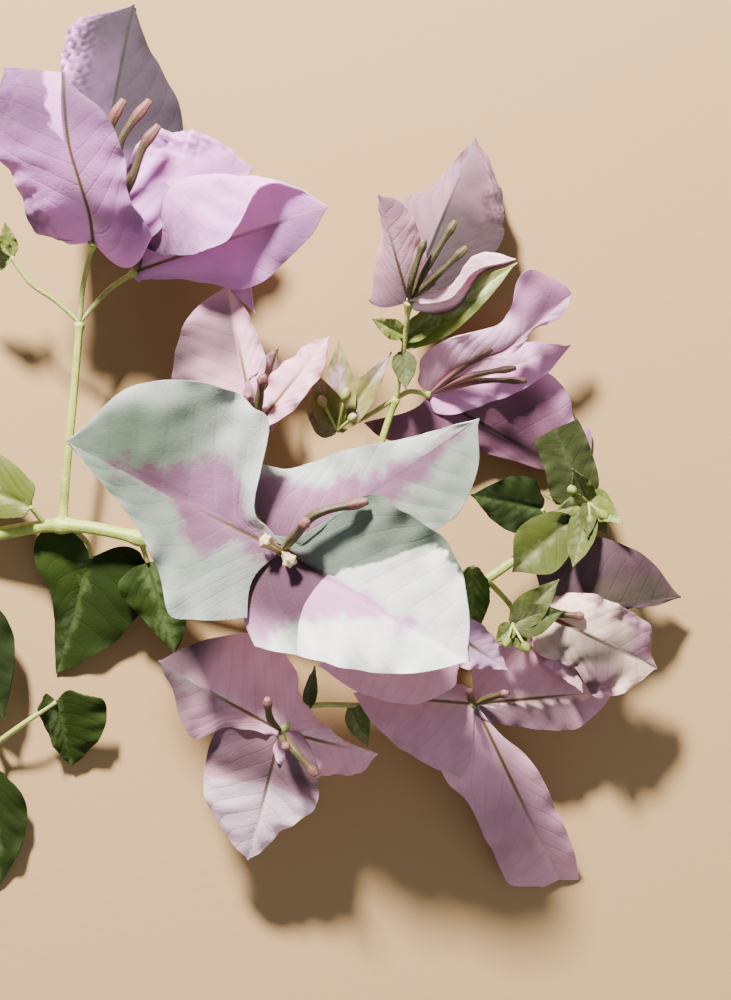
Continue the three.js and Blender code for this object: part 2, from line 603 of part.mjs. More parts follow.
export default branch;
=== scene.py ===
# A cut flowering branch of bougainvillea that lies on a pale floor, seen from above. Places are in
# millimetres from the point on the floor under the white bloom's heart, as in the part's source.
import json
import bpy
import numpy as np
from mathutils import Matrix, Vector


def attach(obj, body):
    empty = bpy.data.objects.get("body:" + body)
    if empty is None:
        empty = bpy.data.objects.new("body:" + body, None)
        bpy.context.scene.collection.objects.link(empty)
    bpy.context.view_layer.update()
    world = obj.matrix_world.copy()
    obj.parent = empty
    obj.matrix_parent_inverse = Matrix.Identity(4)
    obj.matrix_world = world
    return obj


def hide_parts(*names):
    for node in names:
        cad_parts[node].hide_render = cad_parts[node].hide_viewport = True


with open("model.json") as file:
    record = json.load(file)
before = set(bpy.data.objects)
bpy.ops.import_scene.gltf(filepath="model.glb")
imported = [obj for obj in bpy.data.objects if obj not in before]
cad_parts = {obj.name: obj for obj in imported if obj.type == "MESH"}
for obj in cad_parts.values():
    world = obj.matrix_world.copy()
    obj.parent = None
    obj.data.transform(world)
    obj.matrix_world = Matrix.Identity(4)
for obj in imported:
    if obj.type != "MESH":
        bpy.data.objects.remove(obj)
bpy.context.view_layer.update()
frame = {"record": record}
print("stage: frame loaded")

# the cut end is a mount of the part, so it ties these places to the row frame
cutEndHere = np.array([-84, 1.5, 1.5])
cutEndMount = next(m for m in frame["record"]["mounts"] if m["name"] == "cut_end")
shift = np.array(cutEndMount["pos_m"]) * 1000 - cutEndHere
toMetres = 0.001


# Camera, light and floor
cameraView = {"over": (16.5, 10.4, 470), "focal": 2150, "frameHeight": 1000, "sensor": 36}


def rowPlace(place):
    return (np.asarray(place, float) + shift) * toMetres


def addCamera(given):
    data = bpy.data.cameras.new("camera")
    data.sensor_width = given["sensor"]
    data.lens = given["focal"] / given["frameHeight"] * given["sensor"]
    camera = bpy.data.objects.new("camera", data)
    camera.location = rowPlace(given["over"])
    bpy.context.scene.collection.objects.link(camera)
    bpy.context.scene.camera = camera


studio = {
    "aim": (0, 0, 20),  # what both lamps point at, in the middle of the branch
    "key": {
        "towards": (-0.25, 0.78, 0.62), "distance": 0.9, "size": 0.12, "power": 62,
        "colour": (1, 0.96, 0.9),
    },
    "fill": {
        "towards": (0.5, -0.45, 0.75), "distance": 1.1, "size": 0.9, "power": 3,
        "colour": (0.92, 0.95, 1),
    },
    "sky": {"colour": (0.88, 0.93, 1), "strength": 0.38},
    "floor": {"side": 6, "colour": (154, 124, 84), "rough": 0.85, "grain": (0.5, 4), "relief": 0.05},
}


def addLamp(name, given):
    data = bpy.data.lights.new(name, "AREA")
    data.shape = "DISK"
    data.size = given["size"]
    data.energy = given["power"]
    data.color = given["colour"]
    lamp = bpy.data.objects.new(name, data)
    away = np.array(given["towards"]) / np.linalg.norm(given["towards"])
    lamp.location = rowPlace(studio["aim"]) + away * given["distance"]
    lamp.rotation_mode = "QUATERNION"
    lamp.rotation_quaternion = Vector(away).to_track_quat("Z", "Y")
    bpy.context.scene.collection.objects.link(lamp)


# Shader maths
def paint(red, green, blue):  # a screen colour from 0 to 255 as the light that the standard curve gives
    parts = [c / 255 for c in (red, green, blue)]
    return tuple(c / 12.92 if c <= 0.04045 else ((c + 0.055) / 1.055) ** 2.4 for c in parts) + (1,)


class Wire:  # a shader socket that can be worked with as a number or a colour
    def __init__(self, tree, socket):
        self.tree, self.socket = tree, socket

    def node(self, kind, settings=None, inputs=None, output=0):
        return addNode(self.tree, kind, settings, inputs, output)

    def maths(self, operation, *others):
        return self.node("ShaderNodeMath", {"operation": operation}, dict(enumerate((self,) + others)))

    def __add__(self, other):
        return self.maths("ADD", other)

    def __sub__(self, other):
        return self.maths("SUBTRACT", other)

    def __mul__(self, other):
        return self.maths("MULTIPLY", other)

    def __rsub__(self, other):
        return self * -1 + other

    def over(self, low, high):  # 0 below low and 1 above high, smooth between them
        limits = {"Value": self, "From Min": low, "From Max": high, "To Min": 0, "To Max": 1}
        return self.node("ShaderNodeMapRange", {"interpolation_type": "SMOOTHSTEP"}, limits)

    def fromWhole(self):  # how far a number is from the nearest whole one
        return self.maths("PINGPONG", 0.5)

    def mixed(self, colour, share, way="MIX"):  # this colour, with that share of another
        settings = {"data_type": "RGBA", "blend_type": way}
        return self.node("ShaderNodeMix", settings, {0: share, 6: self, 7: colour}, 2)


def addNode(tree, kind, settings=None, inputs=None, output=0):  # settings first, then values or links
    node = tree.nodes.new(kind)
    for name, value in (settings or {}).items():
        if name == "stops":
            ramp = node.color_ramp
            while len(ramp.elements) < len(value):
                ramp.elements.new(0.5)
            for element, (position, colour) in zip(ramp.elements, value):
                element.position, element.color = position, colour
        else:
            setattr(node, name, value)
    for key, value in (inputs or {}).items():
        if isinstance(value, Wire):
            tree.links.new(value.socket, node.inputs[key])
        else:
            node.inputs[key].default_value = value
    return Wire(tree, node.outputs[output]) if node.outputs else node


class Paintbox:  # a new material with its shader and what its patterns are made of
    def __init__(self, name):
        self.material = bpy.data.materials.new(name)
        self.material.use_nodes = True
        self.tree = self.material.node_tree
        self.tree.nodes.clear()
        self.place = self.node("ShaderNodeTexCoord", output=3)

    def node(self, kind, settings=None, inputs=None, output=0):
        return addNode(self.tree, kind, settings, inputs, output)

    def stored(self, name):
        return self.node("ShaderNodeAttribute", {"attribute_name": name}, output=2)

    def plain(self, colour):
        return self.node("ShaderNodeMix", {"data_type": "RGBA"}, {0: 0.0, 6: colour, 7: colour}, 2)

    def noise(self, perMillimetre, detail):
        inputs = {"Vector": self.place, "Scale": perMillimetre / toMetres, "Detail": detail}
        return self.node("ShaderNodeTexNoise", None, inputs)

    def cells(self, perMillimetre):  # distance to the nearest edge of a net of cells
        inputs = {"Vector": self.place, "Scale": perMillimetre / toMetres}
        return self.node("ShaderNodeTexVoronoi", {"feature": "DISTANCE_TO_EDGE"}, inputs)

    def finish(self, colour, rough, height, relief, through=None, share=0.0, fixed=None):
        relieved = {"Height": height, "Strength": 1, "Distance": relief * toMetres}
        bump = self.node("ShaderNodeBump", None, relieved)
        inputs = {"Base Color": colour, "Roughness": rough, "Normal": bump, **(fixed or {})}
        shader = self.node("ShaderNodeBsdfPrincipled", None, inputs)
        if through:
            behind = self.node("ShaderNodeBsdfTranslucent", None, {"Color": through})
            shader = self.node("ShaderNodeMixShader", None, {0: share, 1: shader, 2: behind})
        self.node("ShaderNodeOutputMaterial", None, {"Surface": shader})
        return self.material


bractPattern = {  # what every bract and leaf has: patterns per millimetre, and relief in millimetres
    "blotch": (0.16, 3), "fine": (1.1, 3), "net": 0.62, "netLine": 0.09, "veinLine": (0.02, 0.1),
    "rim": (0.2, 2.2), "midrib": (0.18, 0.55), "patchEdge": 2.2, "lightEdge": 0.7, "relief": 0.12,
    "mottled": (0.45, 0.75), "mottleShare": 0.45,
    # how far blotches, veins and fine grain push the edge of the patch and of the sunlight, in millimetres
    "patchPush": (9, 2, 3), "lightPush": (5, 2, 1),
}


def bractMaterial(name, look):
    box = Paintbox(name)
    pattern = bractPattern
    side, edge, reach, grain = (box.stored(n) for n in ("side", "edge", "reach", "grain"))
    patch, tone, lit, back = (box.stored(n) for n in ("patch", "tone", "lit", "back"))
    blotch = box.noise(*pattern["blotch"])
    fine = box.noise(*pattern["fine"])
    net = box.cells(pattern["net"]).over(0.0, pattern["netLine"])
    # the veins of one wing lie between those of the other
    rightSide = side.over(-0.01, 0.01)
    offVein = (grain + rightSide * 0.5).fromWhole()
    vein = 1 - offVein.over(*pattern["veinLine"])

    def pushed(amounts):
        return (blotch - 0.5) * amounts[0] + (offVein - 0.25) * amounts[1] + (fine - 0.5) * amounts[2]

    # the paint: ground, middle patch, rim, veins, midrib and underside
    mottled = blotch.over(*pattern["mottled"]) * pattern["mottleShare"]
    colour = box.plain(paint(*look["light"])).mixed(paint(*look["mottle"]), mottled)
    inPatch = (patch + pushed(pattern["patchPush"])).over(-pattern["patchEdge"], pattern["patchEdge"])
    colour = colour.mixed(paint(*look["patch"]), inPatch)
    atRim = 1 - edge.over(*pattern["rim"])
    colour = colour.mixed(paint(*look["rim"]), atRim * look["rimShare"])
    colour = colour.mixed(paint(*look["vein"]), (vein * 0.4 + (1 - net) * 0.1) * look["veinShare"])
    midrib = (1 - side.maths("ABSOLUTE").over(*pattern["midrib"])) * (1 - reach.over(0.4, 1))
    colour = colour.mixed(paint(*look["midrib"]), midrib)
    colour = colour.mixed(paint(*look["under"]), back * look["underShare"])
    # painted light and shade: how deep the painted shade is at each point, and lit, where painted sunlight
    # breaks through it
    inLight = (lit + pushed(pattern["lightPush"])).over(-pattern["lightEdge"], pattern["lightEdge"])
    bright = (1 - tone * (1 - inLight) - (blotch - 0.5) * 0.2).maths("MAXIMUM", 0)
    patchShade = paint(*look.get("patchShade", look["shade"]))
    inShade = box.plain(paint(*look["shade"])).mixed(patchShade, inPatch)
    colour = colour.mixed(inShade, 1 - bright * bright, "MULTIPLY")
    height = net * 0.14 + fine * 0.4 - vein * 0.22
    rough = 0.9 - bright * 0.26 - fine * 0.12
    through = paint(*look["through"])
    share = bright * look["throughShare"]
    fixed = {"Specular IOR Level": look.get("gloss", 0.3)}
    return box.finish(colour, rough, height, pattern["relief"], through, share, fixed)


# Curves and blades
def readCurve(values, t):  # a smooth curve of values at even steps, read at t from 0 to 1
    values = np.asarray(values, float)
    last = len(values) - 1
    step = np.clip(np.floor(t * last).astype(int), 0, last - 1)
    f = t * last - step
    before, here, after, beyond = (values[np.clip(step + k, 0, last)] for k in (-1, 0, 1, 2))
    square = 2 * before - 5 * here + 4 * after - beyond
    cube = 3 * (here - after) + beyond - before
    return here + 0.5 * f * (after - before + f * (square + f * cube))


def smooth(x):
    x = np.clip(x, 0, 1)
    return x * x * (3 - 2 * x)


def sized(value, wing, t):  # a number, a list along the blade, or a pair of either for the two wings
    if isinstance(value, tuple):
        value = value[wing]
    if isinstance(value, list):
        return readCurve(value, t)
    return np.full_like(t, value)


# What a bract or leaf has where nothing else is given. Lengths are in millimetres and angles in
# degrees. A list is read from base to tip, and a pair holds the left and the right wing.
bladeDefaults = {
    "face": (0, 0, 1),  # the way that the blade's face looks
    "tipHalf": 0.15, "thick": 0.3, "rows": 56, "columns": 19,
    "lift": 8, "roll": -10,  # a wing's slope at the midrib, and half of what it gains to the rim
    "curl": 0, "curlFrom": 0.6, "curlTo": 1,  # a bend on top, and the shares of the wing it spans
    "bow": 0, "tipUp": 0, "sway": 0, "drift": 0,  # how the midrib arches, ends, bends and shifts
    "lobe": 0, "heel": 0, "corner": 2.5, "shoulder": 0,  # how the wings' ends run back or forward
    "wave": 0.9, "waves": 2.3, "pucker": 0.3, "crinkle": 0.24, "blister": 0, "groove": 0.35,
    "veins": 8, "sweep": 0.42, "ribReach": 0.85,
    "patch": 0, "lit": -9, "tone": 0.2, "edgeShade": 0,  # where paint lies on it, and where painted sunlight and painted shade lie
}
eggShape = [0.45, 0.92, 1, 0.8, 0.42, 0]  # a plain blade's half-width, as a share of its widest
blisterLight = 0.45  # painted light on blisters: how much thinner the painted shade is on a blister's top than at its foot, for each millimetre
fullTurn = 6.28  # the range that phases are drawn from, in radians


def wrinkles(across, along, random):  # a few crossed waves, as uneven as crinkled paper
    total = np.zeros_like(across)
    for _ in range(4):
        a, b = random.uniform(-1, 1, 2)
        phases = random.uniform(0, fullTurn, 2)
        total += np.sin(a * across + along + phases[0]) * np.sin(across - b * along + phases[1])
    return total / 2


def bladeAxes(base, blade):  # its length, and its directions to the tip, out of its face and to the right
    along = np.array(blade["tip"], float) - base
    length = np.linalg.norm(along)
    along /= length
    up = np.array(blade["face"], float)
    up -= along * up.dot(along)
    up /= np.linalg.norm(up)
    return length, along, up, np.cross(along, up)


def joinWings(left, right):  # both run outwards from the midrib, which they share
    return np.concatenate([left[:, :0:-1], right], axis=1)


def bladeGrid(base, given, seed):
    blade = {**bladeDefaults, **given}
    random = np.random.default_rng(seed)
    base = np.array(blade.get("base", base), float)
    length, along, up, right = bladeAxes(base, blade)
    if isinstance(blade["wide"], (int, float)):
        blade["wide"] = [share * blade["wide"] for share in eggShape]
    t = np.linspace(0, 1, blade["rows"])
    u = np.linspace(0, 1, blade["columns"])
    tt, uu = np.meshgrid(t, u, indexing="ij")
    wings, stored = [], []
    for wing, sign in ((0, -1), (1, 1)):
        def read(key, side=wing):  # a value at every row of this wing
            return sized(blade[key], side, t)[:, None]

        half = np.maximum(blade["tipHalf"], read("wide"))
        slope = read("lift") + 2 * read("roll") * u
        slope = slope + read("curl") * smooth((u - read("curlFrom")) / (read("curlTo") - read("curlFrom")))
        slope = np.radians(slope)
        run = (np.cumsum(np.cos(slope), axis=1) - np.cos(slope)) * half * u[1]
        rise = (np.cumsum(np.sin(slope), axis=1) - np.sin(slope)) * half * u[1]

        # side veins sweep forward and sway a little, and the skin puckers up between them
        phases = random.uniform(0, fullTurn, 3)
        sway = 0.2 * uu * np.sin(5 * uu + 9 * tt + phases[2])
        sway += 0.3 * np.sin(7 * tt + phases[2]) * smooth(uu / 0.5)
        swept = blade["sweep"] * uu
        grain = (tt - swept) / (1 - swept) * blade["veins"] + sway
        betweenVeins = np.abs(np.sin(np.pi * (grain + 0.5 * wing)))
        uneven = 0.55 + 0.45 * wrinkles(3 * uu, 5 * tt, random)
        fromMidrib = smooth(uu / 0.55) * (1 - 0.4 * uu ** 6)
        dent = read("pucker") * (betweenVeins ** 0.8 - 0.6) * fromMidrib * uneven

        # long waves at the rim, crinkles all over, and blisters in the outer half
        turn = 2 * np.pi * blade["waves"] * tt
        ripple = np.sin(turn + phases[0]) + 0.5 * np.sin(2.7 * turn + phases[1])
        dent += read("wave") * uu ** 2.5 * ripple
        ruffle = wrinkles(uu * half * 0.55, tt * length * 0.5, random)
        dent += read("crinkle") * (0.35 + uu ** 3) * ruffle
        blisters = wrinkles(uu * half * 2.1, tt * length * 1.9, random)
        blisters = read("blister") * smooth(uu * 2 - 0.7) * blisters
        dent += blisters
        ends = np.sin(np.pi * tt) ** 0.6
        dent = dent * ends - blade["groove"] * np.exp(-(uu * half / 0.7) ** 2) * (1 - tt)

        back = read("lobe") * (1 - tt) ** 2 * uu ** 2
        back += read("heel") * (1 - tt) ** 3 * np.sin(np.pi * uu)
        back -= read("shoulder") * tt ** 6 * uu
        back -= blade["corner"] * uu ** 6 * np.clip(1 - tt / 0.16, 0, 1) ** 2
        bend = read("sway", 0) * (1 - uu) + read("drift", 0)
        arch = 4 * blade["bow"] * tt * (1 - tt) + blade["tipUp"] * tt ** 4
        sideways = sign * (run - dent * np.sin(slope)) + bend
        upward = rise + dent * np.cos(slope) + arch
        onward = length * tt - back
        inPlane = base + onward[..., None] * along + sideways[..., None] * right
        wings.append(inPlane + upward[..., None] * up)
        # what the materials read at each point, among them the depth of the painted shade, thinned as
        # painted light on blister tops and changed towards the rim
        stored.append({
            "side": sign * uu * half, "edge": (1 - uu) * half, "reach": tt / blade["ribReach"],
            "grain": grain, "patch": (read("patch") - uu) * half, "lit": (read("lit") - uu) * half,
            "tone": read("tone") - blisters * blisterLight + read("edgeShade") * smooth(2 * uu - 1),
        })
    both = {key: joinWings(stored[0][key], stored[1][key]) for key in stored[0]}
    return joinWings(*wings), both, blade["thick"]


class Batch:  # shells and limbs that are joined into one piece
    def __init__(self):
        self.points = []
        self.faces = []
        self.looks = []  # each face's material
        self.rims = []  # which sharp rim each point lies on, or -1
        self.stored = {}  # what the materials read at each point
        self.count = 0
        self.rimCount = 0

    def add(self, points, faces, rims, stored, look):
        self.points.append(points)
        self.faces += [tuple(int(i) + self.count for i in face) for face in faces]
        self.looks += [look] * len(faces)
        self.rims.append(np.where(rims < 0, -1, rims + self.rimCount))
        self.rimCount += int(rims.max()) + 1
        for name, values in stored.items():
            self.stored.setdefault(name, []).append((self.count, values))
        self.count += len(points)

    def blade(self, base, given, seed, look=0):  # a bract or leaf, a thin shell with a face and a back
        grid, stored, thick = bladeGrid(base, given, seed)
        rows, columns = grid.shape[:2]
        outward = np.cross(np.gradient(grid, axis=1), np.gradient(grid, axis=0))
        outward /= np.linalg.norm(outward, axis=2, keepdims=True)
        index = np.arange(rows * columns).reshape(rows, columns)
        corners = [index[:-1, :-1], index[:-1, 1:], index[1:, 1:], index[1:, :-1]]
        quads = np.stack(corners, axis=-1).reshape(-1, 4)
        ring = np.concatenate([index[0, :-1], index[:-1, -1], index[-1, :0:-1], index[:0:-1, 0]])
        behind = ring + rows * columns
        skirt = np.stack([ring, behind, np.roll(behind, -1), np.roll(ring, -1)], axis=-1)
        points = np.concatenate([grid + outward * thick / 2, grid - outward * thick / 2]).reshape(-1, 3)
        faces = np.concatenate([quads, quads[:, ::-1] + rows * columns, skirt])
        rims = np.full(len(points), -1)
        rims[ring] = 0
        rims[behind] = 1
        doubled = {k: np.tile(v.ravel(), 2) for k, v in stored.items()}
        doubled["back"] = np.repeat([0.0, 1.0], rows * columns)
        self.add(points, faces, rims, doubled, look)

    # a round stem, stalk, tube or bud along the places, as thick as radius says, with ribs round it
    def limb(self, places, radius, sides=12, steps=24, ribs=0, ribDepth=0.0, twist=0.0, look=0):
        path = curvePoints(places, steps)
        forward = np.gradient(path, axis=0)
        forward /= np.linalg.norm(forward, axis=1, keepdims=True)
        start = np.array([0, 0, 1.0]) if abs(forward[0][2]) < 0.8 else np.array([1.0, 0, 0])
        normals = []
        for way in forward:
            start = start - way * start.dot(way)
            start = start / np.linalg.norm(start)
            normals.append(start)
        normals = np.array(normals)
        others = np.cross(forward, normals)
        t = np.linspace(0, 1, steps + 1)
        turn = np.linspace(0, 2 * np.pi, sides, endpoint=False)
        swell = 1 + ribDepth * np.cos(ribs * turn[None, :] + twist * t[:, None])
        size = radius(t, path)[:, None] * swell
        ring = path[:, None] + (size * np.cos(turn))[..., None] * normals[:, None]
        ring = ring + (size * np.sin(turn))[..., None] * others[:, None]
        index = np.arange((steps + 1) * sides).reshape(steps + 1, sides)
        ahead = np.roll(index, -1, axis=1)
        faces = np.stack([index[:-1], ahead[:-1], ahead[1:], index[1:]], axis=-1).reshape(-1, 4).tolist()
        foot, head = index.size, index.size + 1
        faces += [(foot, ahead[0, k], index[0, k]) for k in range(sides)]
        faces += [(head, index[-1, k], ahead[-1, k]) for k in range(sides)]
        points = np.concatenate([ring.reshape(-1, 3), path[:1], path[-1:]])
        rims = np.full(len(points), -1)
        rims[index[0]] = 0
        stored = {"reach": np.concatenate([np.repeat(t, sides), [0, 1]])}
        self.add(points, faces, rims, stored, look)

    def piece(self, name, materials, node):  # the mesh that dresses one node of the part
        mesh = bpy.data.meshes.new(name)
        mesh.from_pydata(((np.concatenate(self.points) + shift) * toMetres).tolist(), [], self.faces)
        for material in materials:
            mesh.materials.append(material)
        mesh.polygons.foreach_set("material_index", self.looks)
        mesh.polygons.foreach_set("use_smooth", [True] * len(mesh.polygons))
        ends = np.empty(len(mesh.edges) * 2, int)
        mesh.edges.foreach_get("vertices", ends)
        rims = np.concatenate(self.rims)[ends.reshape(-1, 2)]
        sharp = mesh.attributes.new("sharp_edge", "BOOLEAN", "EDGE")
        sharp.data.foreach_set("value", (rims[:, 0] == rims[:, 1]) & (rims[:, 0] >= 0))
        for key, parts in self.stored.items():
            values = np.zeros(self.count)
            for first, part in parts:
                values[first:first + len(part)] = part
            mesh.attributes.new(key, "FLOAT", "POINT").data.foreach_set("value", values)
        made = bpy.data.objects.new(name, mesh)
        bpy.context.scene.collection.objects.link(made)
        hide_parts(node)
        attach(made, "root")


curveFineness = 24  # steps between two places, before the curve is divided evenly


def curvePoints(places, steps):  # evenly spaced points on a smooth curve through the places
    p = np.array(places, float)
    p = np.vstack([2 * p[0] - p[1], p, 2 * p[-1] - p[-2]])
    knots = np.concatenate([[0], np.cumsum(np.linalg.norm(np.diff(p, axis=0), axis=1) ** 0.5)])

    def between(a, b, first, last, s):
        return a + (b - a) * (s - knots[first]) / (knots[last] - knots[first])

    finePoints = []
    for k in range(1, len(p) - 2):
        s = np.linspace(knots[k], knots[k + 1], curveFineness, endpoint=False)[:, None]
        a = [between(p[k - 1 + i], p[k + i], k - 1 + i, k + i, s) for i in range(3)]
        c = [between(a[i], a[i + 1], k - 1 + i, k + 1 + i, s) for i in range(2)]
        finePoints.append(between(c[0], c[1], k, k + 1, s))
    fine = np.vstack(finePoints + [p[-2:-1]])
    run = np.concatenate([[0], np.cumsum(np.linalg.norm(np.diff(fine, axis=0), axis=1))])
    even = np.linspace(0, run[-1], steps + 1)
    return np.stack([np.interp(even, run, fine[:, i]) for i in range(3)], axis=1)


# Light and floor, now that colours can be mixed
def addSky(given):
    world = bpy.data.worlds.new("studio")
    world.use_nodes = True
    background = world.node_tree.nodes["Background"]
    background.inputs["Color"].default_value = given["colour"] + (1,)
    background.inputs["Strength"].default_value = given["strength"]
    bpy.context.scene.world = world


def addFloor(given):
    half = given["side"] / 2
    corners = [(-half, -half, 0), (half, -half, 0), (half, half, 0), (-half, half, 0)]
    mesh = bpy.data.meshes.new("floor")
    mesh.from_pydata(corners, [], [(0, 1, 2, 3)])
    box = Paintbox("pale floor")
    grain = box.noise(*given["grain"])
    mesh.materials.append(box.finish(paint(*given["colour"]), given["rough"], grain, given["relief"]))
    floor = bpy.data.objects.new("floor", mesh)
    bpy.context.scene.collection.objects.link(floor)


addCamera(cameraView)
addLamp("key lamp", studio["key"])
addLamp("fill lamp", studio["fill"])
addSky(studio["sky"])
addFloor(studio["floor"])
print("stage: camera, light and floor")


# Stems
stemLook = {"young": (158, 172, 74), "old": (128, 140, 58), "streak": (180, 190, 104)}


def stemMaterial(name, look):
    box = Paintbox(name)
    blotch, fine = box.noise(0.25, 3), box.noise(2.2, 3)
    colour = box.plain(paint(*look["young"])).mixed(paint(*look["old"]), blotch.over(0.35, 0.7))
    colour = colour.mixed(paint(*look["streak"]), fine.over(0.5, 0.7) * 0.5)
    return box.finish(colour, 0.5 - fine * 0.1, fine + blotch, 0.12, fixed={"Specular IOR Level": 0.45})


stems = {
    "main_stem": {
        "radii": (1.5, 0.9), "steps": 150,
        "path": [(-84, 1.5, 1.5), (-78, 1.5, 1.5), (-66.5, 2.5, 6), (-48, 5, 12), (-32.5, 2.5, 13),
            (-15.5, -3, 12), (2.5, -9, 12), (21.5, -12, 12), (37.5, -9, 12), (51.5, 0, 12), (60.5, 7, 11)],
        "nodes": [(-71, 2, 5), (-48, 5, 12), (-31.5, 2.5, 13), (-8, -6, 12), (12, -10.5, 12),
            (23.5, -12, 12), (38.5, -9, 12), (60.5, 7, 11)],
    },
    "shoot_upper_left": {
        "radii": (0.95, 0.8), "steps": 50, "nodes": [(-48, 5, 12), (-44, 48, 15)],
        "path": [(-48, 5, 12), (-47, 17, 13), (-45.5, 31.5, 14), (-44, 48, 15)],
    },
    "shoot_middle": {
        "radii": (0.9, 0.7), "steps": 50, "nodes": [(12, -10.5, 12), (23, 32, 15)],
        "path": [(12, -10.5, 12), (16, 6, 12), (20, 23, 13), (23, 32, 15)],
    },
    "shoot_lower": {
        "radii": (0.9, 0.75), "steps": 30, "nodes": [(23.5, -12, 12), (32.5, -33.5, 13)],
        "path": [(23.5, -12, 12), (29, -19.5, 12), (31.5, -28, 12), (32.5, -33.5, 13)],
    },
    "shoot_right": {
        "radii": (0.7, 0.5), "steps": 24, "nodes": [(38.5, -9, 12), (48, -13, 21)],
        "path": [(38.5, -9, 12), (41.5, -6.5, 18), (44.5, -9, 21), (48, -13, 21)],
    },
    "shoot_lower_left": {
        "radii": (0.9, 0.7), "steps": 50, "nodes": [(-71, 2, 5), (-63, -42, 5)],
        "path": [(-71, 2, 5), (-71.5, -15.5, 5), (-67.5, -33, 5), (-63, -42, 5)],
    },
}
stemGreen = stemMaterial("green stem", stemLook)
knotShape = {"swell": 0.45, "spread": 1.7}  # a node's share of extra thickness, and how far it runs


def taper(first, last, knots=()):  # a limb's radius along it, with a swelling at each knot
    def radius(t, path):
        size = first + (last - first) * t
        for knot in knots:
            away = np.linalg.norm(path - np.array(knot), axis=1)
            size = size * (1 + knotShape["swell"] * np.exp(-(away / knotShape["spread"]) ** 2))
        return size
    return radius


for name, stem in stems.items():
    batch = Batch()
    radius = taper(*stem["radii"], stem["nodes"])
    batch.limb(stem["path"], radius, sides=20, steps=stem["steps"], ribs=5, ribDepth=0.05, twist=3)
    batch.piece(name + "_bark", [stemGreen], name)
print("stage: stems")


# Blooms
stalkGreen = stemMaterial("green stalk", {**stemLook, "young": (150, 160, 84), "old": (128, 122, 66)})
# a flower tube's radius from foot to mouth: closed, and open
tubeProfile = [0.42, 0.55, 0.7, 0.84, 0.92, 0.94, 0.9, 0.78, 0.86, 1.16, 0.7]
openProfile = [0.5, 0.6, 0.66, 0.7, 0.75, 0.8, 0.86, 0.95, 1.25, 1.3, 0.4]
tubeFleck = (128, 110, 72)


def tubeMaterial(name, stops):
    box = Paintbox(name)
    reach, fine = box.stored("reach"), box.noise(1.6, 3)
    painted = [(position, paint(*colour)) for position, colour in stops]
    uneven = reach + (fine - 0.5) * 0.08
    ramp = box.node("ShaderNodeValToRGB", {"stops": painted}, {"Fac": uneven})
    colour = ramp.mixed(paint(*tubeFleck), fine.over(0.45, 0.75) * 0.2)
    return box.finish(colour, 0.6 - fine * 0.1, fine, 0.1, fixed={"Specular IOR Level": 0.35})


# colours from foot to mouth
tubeOlive = tubeMaterial("olive flower tube",
    [(0.0, (82, 78, 38)), (0.5, (64, 58, 34)), (0.82, (70, 54, 38)), (0.89, (104, 62, 58)),
        (1.0, (118, 80, 76))])
# the tubes' own olive green, darkened as painted shade
shadedGreenTube = tubeMaterial("green flower tube with painted shade",
    [(0.0, (66, 66, 32)), (0.5, (54, 52, 28)), (0.88, (58, 54, 30)), (1.0, (88, 80, 50))])
tubeBrown = tubeMaterial("brown flower tube",
    [(0.0, (150, 100, 112)), (0.45, (116, 72, 70)), (0.6, (66, 46, 38)), (1.0, (88, 58, 50))])
tubeCream = tubeMaterial("cream flower tube",
    [(0.0, (124, 110, 66)), (0.3, (150, 124, 88)), (0.75, (176, 148, 114)), (1.0, (196, 178, 136))])

whiteLook = {
    "light": (248, 250, 246), "shade": (64, 80, 62), "patchShade": (76, 68, 67),
    "mottle": (232, 240, 234), "patch": (214, 150, 195),
    "rim": (250, 252, 246), "rimShare": 0.5, "vein": (206, 214, 196), "veinShare": 0.4,
    "midrib": (124, 106, 64), "under": (214, 212, 216), "underShare": 0.35,
    "through": (225, 220, 225), "throughShare": 0.3,
}
lilacLook = {
    "light": (236, 156, 234), "shade": (34, 38, 34), "mottle": (242, 170, 238), "patch": (246, 184, 226),
    "rim": (242, 190, 240), "rimShare": 0.35, "vein": (200, 132, 196), "veinShare": 0.35,
    "midrib": (112, 94, 52), "under": (214, 160, 206), "underShare": 0.3,
    "through": (226, 186, 214), "throughShare": 0.3,
}
# the paint of the bracts that lie in the others' shade: a pinker, browner lilac that is partly painted
# shade, while the rest of their shade comes from the shade colour and each bract's painted shade depth
duskyLook = {
    "light": (236, 176, 200), "shade": (44, 42, 41), "mottle": (226, 164, 186), "patch": (240, 210, 190),
    "rim": (232, 184, 202), "rimShare": 0.3, "vein": (176, 122, 138), "veinShare": 0.4,
    "midrib": (114, 94, 54), "under": (196, 144, 160), "underShare": 0.4,
    "through": (225, 155, 178), "throughShare": 0.28,
}
youngLook = {
    "light": (112, 126, 40), "shade": (60, 66, 50), "mottle": (120, 128, 48), "patch": (206, 210, 150),
    "rim": (138, 144, 72), "rimShare": 0.4, "vein": (98, 112, 38), "veinShare": 0.4,
    "midrib": (122, 134, 58), "under": (112, 124, 54), "underShare": 0.5,
    "through": (150, 175, 30), "throughShare": 0.3,
}
youngLeaf = bractMaterial("young leaf", youngLook)
smallBlade = {
    "rows": 24, "columns": 9, "wave": 0.3, "pucker": 0.12, "crinkle": 0.1, "veins": 5, "corner": 0.4,
    "groove": 0.2, "lift": 22, "roll": -8, "thick": 0.25,
}


def tubeRadius(profile, size):
    return lambda t, path: readCurve(profile, t) * size


def stalkRadius(t, path):  # a bloom's stalk widens into its heart
    return 0.55 + 0.55 * smooth((t - 0.85) / 0.15)


